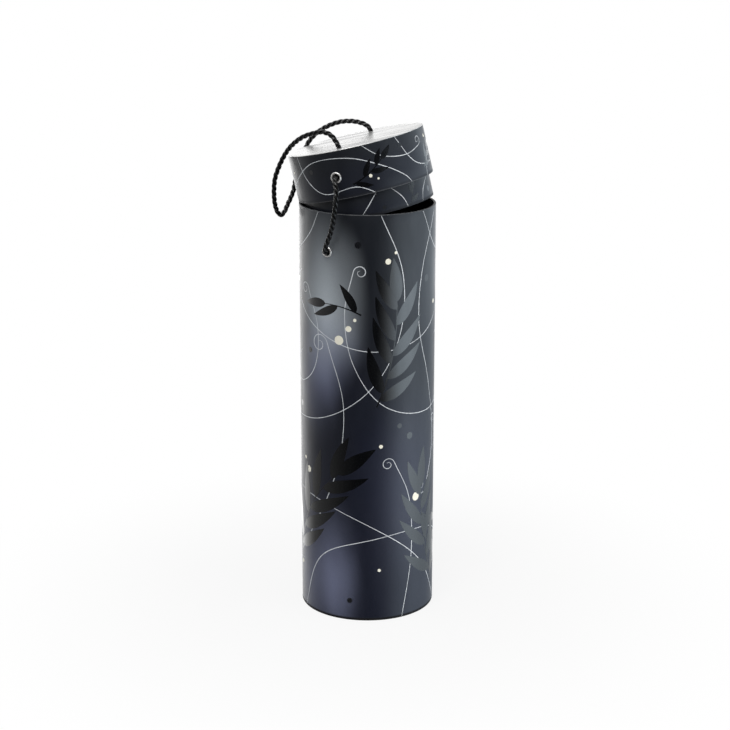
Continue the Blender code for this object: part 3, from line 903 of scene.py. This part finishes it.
def sprig_strips(sprig, sizes):
    """A stem with leaves to either side and one at its tip."""
    foot, heading, stem, bend, pairs, leaf, width = sprig
    rows = STEM_ROWS
    line, turns = [Vector(foot) * MM], []
    for i in range(rows):
        turns.append(heading + bend * (i + 0.5) / rows)
        line.append(line[-1] + heading_vector(turns[-1]) * stem * MM / rows)
    halves = [sizes.line * (STEM_WIDTH_SHARE - STEM_TAPER_SHARE * i / rows) for i in range(rows + 1)]
    strips = [([Vector((*p, 0)) for p in line], halves, 1)]
    for pair in range(pairs):
        for side in (-1, 1):
            share = (pair + PAIR_START + PAIR_STAGGER * side) / (pairs + PAIR_END)
            at = min(rows, round(share * rows))
            turn = turns[min(at, rows - 1)] + side * (LEAF_SPREAD - LEAF_CLOSING * share)
            swell = math.sin(math.pi * (SWELL_START + SWELL_RUN * share))
            long = leaf * MM * (SIDE_LEAF_LEAST + SIDE_LEAF_SWELL * swell)
            wide = width * MM * SIDE_LEAF_WIDTH
            strips.append(leaf_strip(line[at], turn, long, wide, -side * LEAF_SWEEP, sizes))
    long = leaf * MM * TIP_LEAF_LENGTH
    strips.append(leaf_strip(line[-1], turns[-1], long, width * MM, bend * TIP_LEAF_BEND, sizes))
    return strips


def over_seam(turn, radius, sizes):
    """How far the wrap's overlap lifts what is printed over it, at an angle from the front line."""
    away = abs(turn % (2 * math.pi) - math.pi) * radius - sizes.seam_width / 2
    return sizes.seam_rise * min(1.0, max(0.0, 2.0 - away / SEAM_RUN))


def wrap_strips(name, strips, radius, front, low, high, seam=None):
    """Thin closed shapes wrapped round a tube, from low to high above its surface, and over its seam."""
    vertices, faces = [], []
    for index, (line, halves, columns) in enumerate(strips):
        base = len(vertices)
        wide = columns + 1
        crest = high * (1 + LAYER_SHARE * (index % LAYERS))
        for i, (point, half) in enumerate(zip(line, halves)):
            ahead = (line[min(i + 1, len(line) - 1)] - line[max(i - 1, 0)]).normalized()
            for lift in (crest, low):
                for column in range(wide):
                    off = half * (2 * column / columns - 1)
                    u, v = point.x - ahead.y * off, point.y + ahead.x * off
                    angle = front + u / radius
                    reach = radius + lift
                    if seam and lift > low:
                        reach += over_seam(u / radius, radius, seam)
                    vertices.append((reach * math.cos(angle), reach * math.sin(angle), v))
        row = 2 * wide
        for i in range(len(line) - 1):
            here, there = base + i * row, base + (i + 1) * row
            for column in range(columns):
                faces.append((here + column, here + column + 1, there + column + 1, there + column))
                a, b = here + wide + column, there + wide + column
                faces.append((a, b, b + 1, a + 1))
            faces.append((here, there, there + wide, here + wide))
            faces.append((here + columns, here + wide + columns, there + wide + columns, there + columns))
        for end in (base, base + (len(line) - 1) * row):
            for column in range(columns):
                faces.append((end + column, end + column + 1, end + wide + column + 1, end + wide + column))
    return built(name, vertices, faces)


def trimmed(piece, low, high):
    """Cuts a print off level at the edges of its paper."""
    picked(piece)
    bpy.ops.object.mode_set(mode="EDIT")
    for height, above in ((high, True), (low, False)):
        bpy.ops.mesh.select_all(action="SELECT")
        plane = {"plane_co": (0, 0, height), "plane_no": (0, 0, 1)}
        bpy.ops.mesh.bisect(use_fill=True, clear_outer=above, clear_inner=not above, **plane)
    bpy.ops.object.mode_set(mode="OBJECT")
    return piece


def around_the_back(tendrils, berries, sprigs, dots, half_way, height):
    """The same design turned end for end and laid half way round the wrap."""

    def flip(point):
        return (point[0] + half_way, height - point[1])

    return (
        [([flip(p) for p in points], curl and (curl[0], curl[1], -curl[2])) for points, curl in tendrils],
        [(*flip(berry), berry[2]) for berry in berries],
        [(flip(s[0]), -s[1], s[2], -s[3], *s[4:]) for s in sprigs],
        [(*flip(dot), dot[2]) for dot in dots],
    )


# Laid cord


def stations(line):
    """At each point of a line: the point, two untwisted directions across it, and the length so far."""
    last = len(line) - 1
    tangents = [(line[min(i + 1, last)] - line[max(i - 1, 0)]).normalized() for i in range(last + 1)]
    across = tangents[0].orthogonal().normalized()
    places, run = [], 0.0
    for i, tangent in enumerate(tangents):
        if i:
            across = tangents[i - 1].rotation_difference(tangent) @ across
            across = (across - tangent * across.dot(tangent)).normalized()
            run += (line[i] - line[i - 1]).length
        places.append((line[i], across.copy(), tangent.cross(across), run))
    return places


def laid_cord(name, places, radius, cords, phase=0.0):
    """Strands laid round a line's stations, each a closed tube with its own map along and around it."""
    strand = radius * cords.strand_share
    orbit = radius - strand
    sides, count = cords.strand_sides, cords.strands
    last = len(places) - 1
    vertices, faces, maps = [], [], []
    for k in range(count):
        centres, outs = [], []
        for point, across, upward, run in places:
            angle = phase - 2 * math.pi * (run / cords.lay + k / count)
            out = across * math.cos(angle) + upward * math.sin(angle)
            outs.append(out)
            centres.append(point + out * orbit)
        base = len(vertices)
        for i, centre in enumerate(centres):
            along = (centres[min(i + 1, last)] - centres[max(i - 1, 0)]).normalized()
            beside = along.cross(outs[i]).normalized()
            outward = beside.cross(along)
            for side in range(sides):
                angle = 2 * math.pi * side / sides
                vertices.append(centre + (outward * math.cos(angle) + beside * math.sin(angle)) * strand)
        for i in range(last):
            for side in range(sides):
                after = (side + 1) % sides
                here, there = base + i * sides, base + (i + 1) * sides
                faces.append((here + side, here + after, there + after, there + side))
                u0, u1 = side / sides, (side + 1) / sides
                v0, v1 = places[i][3] / MM, places[i + 1][3] / MM
                maps.append([(u0, v0), (u1, v0), (u1, v1), (u0, v1)])
        for end in (0, last):
            faces.append(tuple(base + end * sides + side for side in range(sides)))
            maps.append([(side / sides, places[end][3] / MM) for side in range(sides)])
    return built(name, vertices, faces, maps)


def knot_line(centre, outward, cords):
    """A line that follows an overhand knot, from the eyelet side into a tail that hangs down."""
    out = Vector(outward).normalized()
    side = out.cross(Vector((0, 0, 1))).normalized()
    up = side.cross(out)
    size = cords.knot_scale
    points = [centre + out * size * KNOT_ENTRY]
    for step in range(KNOT_STEPS + 1):
        t = KNOT_START + 2 * math.pi * KNOT_SHARE * step / KNOT_STEPS
        x = math.sin(t) + 2 * math.sin(2 * t)
        y = math.cos(t) - 2 * math.cos(2 * t)
        z = -math.sin(3 * t) * KNOT_DEPTH
        points.append(centre + (side * x + up * y + out * z) * size)
    last = points[-1]
    for inward, down, sideways in KNOT_TAIL:
        points.append(last - out * size * inward - up * cords.tail * down + side * size * sideways)
    return smooth_line(points, cords.step)


# Operators


def groups(context):
    """The scene's sizes, cord sizes and colours."""
    scene = context.scene
    return scene.canister_sizes, scene.canister_cords, scene.canister_colours


class MakeStudio(bpy.types.Operator):
    """Camera, pale floor, white surround and soft lamps"""

    bl_idname = "canister.studio"
    bl_label = "Studio"

    def execute(self, context):
        studio = context.scene.canister_studio
        turn = studio.camera_azimuth
        right = Vector((math.cos(turn), math.sin(turn), 0))
        near = Vector((math.sin(turn), -math.cos(turn), 0))
        up = Vector((0, 0, 1))
        eye = near * studio.camera_distance + up * studio.camera_height
        aim = up * studio.aim_height - right * studio.aim_left
        bpy.ops.object.camera_add(location=eye, rotation=(aim - eye).to_track_quat("-Z", "Y").to_euler())
        camera = bpy.context.active_object
        camera.name = "photo_camera"
        camera.data.lens = studio.lens
        camera.data.sensor_width = 36
        camera.data.clip_start, camera.data.clip_end = 0.01, 20
        context.scene.camera = camera
        for name, across, towards, height, aim_height, width, tall, power, shows in LAMPS:
            spot = right * across + near * towards + up * height
            facing = (up * aim_height - spot).to_track_quat("-Z", "Y").to_euler()
            bpy.ops.object.light_add(type="AREA", location=spot, rotation=facing)
            lamp = bpy.context.active_object
            lamp.name = name
            lamp.data.shape = "RECTANGLE"
            lamp.data.size, lamp.data.size_y = width, tall
            lamp.data.energy = power
            lamp.visible_glossy = shows
            lamp.select_set(False)
        self.make_floor(studio)
        self.make_world(context, right, near)
        context.scene.view_settings.view_transform = "Standard"
        return {"FINISHED"}

    def make_floor(self, studio):
        bpy.ops.mesh.primitive_circle_add(vertices=96, radius=studio.floor_radius, fill_type="NGON")
        floor = made_piece("studio_floor")
        surface = bpy.data.materials.new("pale_floor")
        surface.use_nodes = True
        finish = Finish(surface.node_tree)
        finish.tree.nodes.clear()
        x, y, _ = finish.parts(finish.place())
        reach = (x * x + y * y) ** 0.5
        seen = self.seen(finish)
        veil = seen * reach.rising(studio.floor_radius * 0.25, studio.floor_radius * 0.9, 0.86, 1.0)
        card = finish.node("ShaderNodeBsdfDiffuse", None, {"Color": (0.86, 0.86, 0.86)})
        glow = finish.node("ShaderNodeEmission", None, {"Color": (1, 1, 1), "Strength": 1.0})
        pale = finish.node("ShaderNodeMixShader", None, {0: veil, 1: card, 2: glow})
        clear = finish.node("ShaderNodeBsdfTransparent")
        both = finish.node("ShaderNodeMixShader", None, {0: self.mirrored(finish), 1: pale, 2: clear})
        finish.node("ShaderNodeOutputMaterial", None, {"Surface": both})
        floor.data.materials.append(surface)
        floor.select_set(False)

    @staticmethod
    def rays(finish, *names):
        """One where the ray is of any of the named kinds."""
        share = finish.node("ShaderNodeLightPath", output=names[0])
        outputs = share.socket.node.outputs
        for name in names[1:]:
            share = share.most(Value(finish, outputs[name]))
        return share

    def seen(self, finish):
        return self.rays(finish, "Is Camera Ray", "Is Transmission Ray")

    def mirrored(self, finish):
        return self.rays(finish, "Is Glossy Ray", "Is Shadow Ray")

    def make_world(self, context, right, near):
        world = bpy.data.worlds.new("white_studio")
        context.scene.world = world
        world.use_nodes = True
        finish = Finish(world.node_tree)
        finish.tree.nodes.clear()
        direction = finish.node("ShaderNodeTexCoord", output="Generated")
        plain = self.seen(finish)
        glossy = self.rays(finish, "Is Glossy Ray")

        def facing(axis):
            return finish.vectors("DOT_PRODUCT", direction, axis, "Value")

        # Round the canister by direction, and dimmer towards the floor
        across, towards = facing(right), facing(near)
        around = across.arctan2(towards) / (2 * math.pi) + 0.5
        stops = [(turn / 360 + 0.5, bright / SURROUND_PEAK) for turn, bright in SURROUND]
        room = finish.node("ShaderNodeValToRGB", {"stops": stops}, {0: around}) * SURROUND_PEAK
        rise = facing(Vector((0, 0, 1)))
        room = room * rise.rising(-0.42, -0.17, 0.58, 1.15)
        # Above the horizon, a white sweep behind the canister and a panel at its right
        above = rise.rising(-0.12, 0.06)
        sweep = (-towards).rising(0.05, 0.50, 0.03, 1.08) * across.rising(-0.22, 0.12, 1.0, 0.60)
        beside = across.rising(0.28, 0.62) * (-towards).rising(-0.55, 0.05)
        sweep = sweep + beside * rise.rising(0.30, 0.10) * 0.9
        # An even ceiling and an even floor
        overhead = rise.rising(0.34, 0.60)
        underfoot = (-rise).rising(0.50, 0.85)
        mirrored = room * (1 - above) + sweep * above
        mirrored = mirrored * (1 - overhead) + overhead * 0.85
        mirrored = mirrored * (1 - underfoot) + underfoot * 0.35
        # All that only for gloss: soft light is even, and the camera sees plain white
        level = glossy * mirrored + (1 - glossy) * 0.22
        level = plain + (1 - plain) * level
        cool = glossy * across.rising(0.2, 0.8) * (1 - overhead)
        shade = finish.mixed(cool, (1.0, 1.0, 1.0), (0.78, 0.90, 1.0))
        back = finish.node("ShaderNodeBackground", None, {"Color": shade, "Strength": level})
        finish.node("ShaderNodeOutputWorld", None, {"Surface": back}, None)


class MakeCord(bpy.types.Operator):
    """The laid cord: both tethers in halves, the carrying loop and the stopper knots"""

    bl_idname = "canister.cord"
    bl_label = "Cord"

    def execute(self, context):
        cords = context.scene.canister_cords
        yarn = cord_yarn("black_cord", context.scene.canister_colours)
        for side, route in TETHER_ROUTES.items():
            self.make_tether(side, smooth_line(route, cords.step), cords, yarn)
        line = smooth_line(HANDLE_ROUTE, cords.step)
        loop = laid_cord("carrying_loop", stations(line), cords.radius, cords, CORD_PHASES["loop"])
        finished(loop, yarn, "lid", ["handle_cord"])
        self.tell_cord(loop, line, cords)
        return {"FINISHED"}

    def make_tether(self, side, line, cords, yarn):
        middle = len(line) // 2
        while line[middle].z < TETHER_JOIN:
            middle += 1
        knot = self.make_knot(side, cords, yarn)
        places = stations(line)
        halves = [
            ("lower", slice(0, middle + 1), LOWER_BLEND, [knot]),
            ("upper", slice(middle, None), UPPER_BLEND, []),
        ]
        for name, part, blend, extra in halves:
            piece = laid_cord(f"tether_{side}_{name}", places[part], cords.radius, cords, CORD_PHASES[side])
            finished(piece, yarn, blend, [f"tether_{side}"])
            self.tell_cord(piece, line[part], cords, extra)

    @staticmethod
    def tell_cord(piece, run, cords, extra=()):
        """Takes a piece and the run of cord that it shows, and does nothing with them."""

    @staticmethod
    def make_knot(side, cords, yarn):
        low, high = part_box(f"knot_{side}")
        centre = (low + high) / 2
        line = knot_line(centre, (centre.x, centre.y, 0), cords)
        knot = laid_cord(f"stopper_knot_{side}", stations(line), cords.knot_cord, cords)
        return finished(knot, yarn, "canister", [f"knot_{side}"])


class MakeTube(bpy.types.Operator):
    """The canister's rolled board tube and its foot"""

    bl_idname = "canister.tube"
    bl_label = "Board tube"

    def execute(self, context):
        sizes, cords, colours = groups(context)
        board = rolled_board("rolled_board", colours)
        under = sizes.wrap + sizes.glue_gap
        outer, recess, top = sizes.radius - under, sizes.bore + under, sizes.height - under
        foot = sizes.cover + sizes.glue_gap
        ledge = sizes.height - sizes.tuck - sizes.glue_gap
        outline = [(outer, foot), (outer, top), (recess, top), (recess, ledge)]
        outline += [(sizes.bore, ledge), (sizes.bore, foot)]
        tube = turned("canister_tube", outline)
        eyelet_holes(tube, cords.body_eyelet_turn, cords.body_eyelet_height, cords, sizes)
        finished(tube, board, "canister", ["body_tube"])
        coated("base_board", board)
        return {"FINISHED"}


class MakeWrap(bpy.types.Operator):
    """The canister's printed wrap, folded over the mouth, and its glued seam at the back"""

    bl_idname = "canister.wrap"
    bl_label = "Printed wrap"

    def execute(self, context):
        sizes, cords, colours = groups(context)
        paper = printed_paper("canister_print", colours, 0.0, sizes.height, clouds=CLOUDS)
        foot = sizes.cover + sizes.glue_gap
        r, h, e, t, bore = sizes.radius, sizes.height, sizes.edge, sizes.wrap, sizes.bore
        eyelet = cords.body_eyelet_height
        outline = [(r, foot)] + [(r, h * quarters / 4) for quarters in (1, 2, 3)]
        outline += [(r, eyelet - EYELET_BAND), (r, eyelet + EYELET_BAND), (r, h - RIM_BAND)]
        outline += arc((r - e, h - e), e, 0, 90)
        outline += arc((bore + e, h - e), e, 90, 180)
        outline += [(bore, h - sizes.tuck), (bore + t, h - sizes.tuck), (bore + t, h - t), (r - t, h - t)]
        outline += [(r - t, foot)]
        wrap = turned("canister_wrap", outline)
        eyelet_holes(wrap, cords.body_eyelet_turn, eyelet, cords, sizes)
        finished(wrap, paper, "canister", ["body_wrap"])
        make_seam("canister_seam", paper, "canister", context, foot, h - e * 2)
        return {"FINISHED"}


def make_seam(name, paper, body, context, low, high, laid=None):
    """The wrap's glued overlap, straight up the back."""
    sizes = context.scene.canister_sizes
    front = context.scene.canister_print.front
    rise = (high - low) / SEAM_ROWS
    line = [Vector((math.pi * sizes.radius, low + rise * i, 0)) for i in range(SEAM_ROWS + 1)]
    strip = (line, [sizes.seam_width / 2] * len(line), SEAM_COLUMNS)
    seam = wrap_strips(name, [strip], sizes.radius, front, -sizes.glue_gap / 2, sizes.seam_rise)
    finished(seam, paper, body, (), laid)


class MakeFoot(bpy.types.Operator):
    """The disc of lining paper under the canister"""

    bl_idname = "canister.foot"
    bl_label = "Foot cover"

    def execute(self, context):
        sizes, _, colours = groups(context)
        paper = lining_paper("black_lining", colours)
        radius, soft = sizes.radius - sizes.cover_setback, sizes.cover * FOOT_SOFTNESS
        disc = paper_disc("foot_cover", radius, 0, sizes.cover, soft)
        finished(disc, paper, "canister", ["base_cover"])
        return {"FINISHED"}


class MakeLid(bpy.types.Operator):
    """The lid's board, printed wrap and silver top"""

    bl_idname = "canister.lid"
    bl_label = "Lid"

    def execute(self, context):
        sizes, cords, colours = groups(context)
        laid = lid_place(sizes)
        board = rolled_board("lid_board", colours, laid)
        # The lid's print: less navy and a weaker painted shade along its lower edge than the canister's
        paper = printed_paper(
            "lid_print", colours, 0.0, sizes.lid_height, laid, navy_share=0.35, hem_shade_share=0.3, fold_wear=0.45
        )
        silver = silver_laminate("silver_top", colours, laid)
        r, e, t, bore = sizes.radius, sizes.edge, sizes.wrap, sizes.lid_bore
        under = sizes.lid_height - sizes.cover - sizes.glue_gap
        neck = sizes.neck_radius + sizes.glue_gap
        eyelet, turn = cords.lid_eyelet_height, cords.lid_eyelet_turn
        low, outer = t + sizes.glue_gap, r - t - sizes.glue_gap
        tube = turned("lid_tube_board", [(outer, low), (outer, under), (bore, under), (bore, low)])
        eyelet_holes(tube, turn, eyelet, cords, sizes)
        finished(tube, board, "lid", ["lid_tube"], laid)
        outline = [(neck, 0)] + arc((r - e, e), e, -90, 0)
        outline += [(r, eyelet - EYELET_BAND), (r, eyelet + EYELET_BAND)]
        outline += [(r, under), (r - t, under), (r - t, t), (neck, t)]
        wrap = turned("lid_wrap_print", outline)
        eyelet_holes(wrap, turn, eyelet, cords, sizes)
        finished(wrap, paper, "lid", ["lid_wrap"], laid)
        make_seam("lid_seam", paper, "lid", context, e, under, laid)
        top, soft = sizes.lid_height, sizes.cover * LID_SOFTNESS
        disc = paper_disc("lid_silver_disc", r - sizes.cover_setback / 2, top - sizes.cover, top, soft)
        for turn in (cords.hole_turn, cords.hole_turn + math.pi):
            centre = Vector((math.cos(turn), math.sin(turn), 0)) * cords.hole_reach
            bored(disc, (centre.x, centre.y, top), (0, 0, 1), cords.hole_radius, HOLE_DEPTH)
        finished(disc, silver, "lid", ["lid_top_cover"], laid)
        coated("lid_top_board", board)
        return {"FINISHED"}


class MakeNeck(bpy.types.Operator):
    """The neck that plugs into the canister, with its wrap tucked under"""

    bl_idname = "canister.neck"
    bl_label = "Neck"

    def execute(self, context):
        sizes, _, colours = groups(context)
        laid = lid_place(sizes)
        board = rolled_board("neck_board", colours, laid)
        # The neck's print: less navy and a weaker painted shade along its lower edge than the canister's
        paper = printed_paper(
            "neck_print", colours, -sizes.neck_drop, 0.0, laid, navy_share=0.35, hem_shade_share=0.5
        )
        r, e, t, bore = sizes.neck_radius, sizes.edge, sizes.wrap, sizes.neck_bore
        low, high, gap = -sizes.neck_drop, sizes.neck_seat, sizes.glue_gap
        under, tucked = t + gap, low + sizes.tuck
        outline = [(r - under, low + under), (r - under, high), (bore, high), (bore, tucked + gap)]
        outline += [(bore + under, tucked + gap), (bore + under, low + under)]
        tube = turned("neck_tube_board", outline)
        finished(tube, board, "lid", ["neck_tube"], laid)
        outline = [(r - t, high), (r, high), (r, low + NECK_BAND)]
        outline += reversed(arc((r - e, low + e), e, -90, 0))
        outline += reversed(arc((bore + e, low + e), e, 180, 270))
        outline += [(bore, tucked), (bore + t, tucked), (bore + t, low + t), (r - t, low + t)]
        wrap = turned("neck_wrap_print", outline)
        finished(wrap, paper, "lid", ["neck_wrap"], laid)
        return {"FINISHED"}


class MakeEyelets(bpy.types.Operator):
    """Four nickel eyelets with dished flanges, and the washers behind them"""

    bl_idname = "canister.eyelets"
    bl_label = "Eyelets"

    def execute(self, context):
        sizes, cords, colours = groups(context)
        metal = nickel_plate("nickel", colours)
        pairs = {
            "body": (cords.body_eyelet_turn, cords.body_eyelet_height, cords.body_eyelet_depth),
            "lid": (cords.lid_eyelet_turn, cords.lid_eyelet_height, cords.lid_eyelet_depth),
        }
        for name, (turn, height, depth) in pairs.items():
            body, laid = ("canister", None) if name == "body" else ("lid", lid_place(sizes))
            for side, angle in (("front", turn), ("back", turn + math.pi)):
                ring = turned(f"{name}_eyelet_{side}_ring", self.outline(cords, depth), EYELET_SIDES)
                at = Vector((sizes.radius * math.cos(angle), sizes.radius * math.sin(angle), height))
                stand = Matrix.Rotation(angle, 4, "Z") @ Matrix.Rotation(math.pi / 2, 4, "Y")
                ring.data.transform(Matrix.Translation(at) @ stand)
                finished(ring, metal, body, [f"{name}_eyelet_{side}"], laid)
                coated(f"{name}_washer_{side}", metal)
        return {"FINISHED"}

    @staticmethod
    def outline(cords, depth):
        """Up the barrel's bore, over the rolled rim, down outside the barrel, and round the lip behind."""
        flange, barrel, wall = cords.flange, cords.barrel, cords.barrel_wall
        bore = barrel - wall
        middle, half = (flange + bore) / 2, (flange - bore) / 2
        points = [(bore, -depth), (bore, 0)]
        for step in range(1, RIM_STEPS + 1):
            roll = math.pi * (1 - step / RIM_STEPS)
            points.append((middle + half * math.cos(roll), cords.crown * math.sin(roll)))
        lip, front = barrel * LIP_SHARE, wall * 2 - depth
        points += [(flange, -EYELET_BITE), (barrel, -EYELET_BITE), (barrel, front)]
        return points + [(lip, front), (lip, -depth)]


class MakePrint(bpy.types.Operator):
    """Cream tendrils and berries and gloss sprigs, printed on the canister, lid and neck"""

    bl_idname = "canister.print"
    bl_label = "Print"

    def execute(self, context):
        sizes, _, colours = groups(context)
        inks = {
            "lines": opaque_ink("thread_ink", colours.thread, (0.15, 0.165, 0.18)),
            "berries": opaque_ink("cream_ink", colours.cream, (0.72, 0.70, 0.58)),
            "sprigs": gloss_varnish("gloss_varnish", colours.varnish, 0.14, 0.24),
            "dots": gloss_varnish("smoke_varnish", colours.smoke, 0.26, 0.34),
        }
        trim, gap = sizes.edge + sizes.glue_gap, sizes.glue_gap
        laid = lid_place(sizes)
        wall = (sizes.cover + gap, sizes.height - trim)
        lid_wall = (trim, sizes.lid_height - sizes.cover - 2 * gap)
        neck_wall = (trim - sizes.neck_drop, -gap)
        jobs = [
            ("canister", sizes.radius, wall, "canister", None, sizes, BODY_DESIGN),
            ("lid", sizes.radius, lid_wall, "lid", laid, sizes, LID_DESIGN),
            ("neck", sizes.neck_radius, neck_wall, "lid", laid, None, NECK_DESIGN),
        ]
        ink = context.scene.canister_print
        for name, radius, (low, high), body, place, seam, design in jobs:
            strips = self.strips(design, math.pi * sizes.radius / MM, (low + high) / MM, ink)
            for kind, (shapes, lift) in strips.items():
                if shapes:
                    piece = wrap_strips(f"{name}_{kind}", shapes, radius, ink.front, -ink.sunk, lift, seam)
                    finished(trimmed(piece, low, high), inks[kind], body, (), place)
        return {"FINISHED"}

    @staticmethod
    def strips(design, half_way, height, ink):
        """The design's strips, its copy at the back too, with how high each kind stands."""
        both = [a + b for a, b in zip(design, around_the_back(*design, half_way, height))]
        tendrils, berries, sprigs, dots = both
        return {
            "lines": ([tendril_strip(points, curl, ink) for points, curl in tendrils], ink.ink),
            "berries": ([dot_strip(*berry, ink) for berry in berries], ink.ink * BERRY_LIFT),
            "sprigs": ([strip for sprig in sprigs for strip in sprig_strips(sprig, ink)], ink.varnish),
            "dots": ([dot_strip(*dot, ink) for dot in dots], ink.varnish * DOT_LIFT),
        }


class CanisterPanel(bpy.types.Panel):
    """Lists what the canister is made of"""

    bl_idname = "VIEW3D_PT_canister"
    bl_label = "Board canister"
    bl_space_type = "VIEW_3D"
    bl_region_type = "UI"
    bl_category = "Canister"

    def draw(self, context):
        column = self.layout.column(align=True)
        for maker in MAKERS:
            column.operator(maker.bl_idname)
        for name, group in GROUPS.items():
            box = self.layout.box()
            for prop in group.__annotations__:
                box.prop(getattr(context.scene, name), prop)


GROUPS = {
    "canister_sizes": BoardSizes,
    "canister_cords": CordSizes,
    "canister_print": PrintSizes,
    "canister_colours": Colours,
    "canister_studio": Studio,
}
MAKERS = [MakeStudio, MakeCord, MakeTube, MakeWrap, MakeFoot, MakeLid, MakeNeck, MakeEyelets, MakePrint]


def register():
    for kind in [*GROUPS.values(), *MAKERS, CanisterPanel]:
        bpy.utils.register_class(kind)
    for name, group in GROUPS.items():
        setattr(bpy.types.Scene, name, PointerProperty(type=group))


def unregister():
    for name in GROUPS:
        delattr(bpy.types.Scene, name)
    for kind in reversed([*GROUPS.values(), *MAKERS, CanisterPanel]):
        bpy.utils.unregister_class(kind)


def main():
    register()
    for maker in MAKERS:
        group, name = maker.bl_idname.split(".")
        getattr(getattr(bpy.ops, group), name)()


if __name__ == "__main__":
    main()
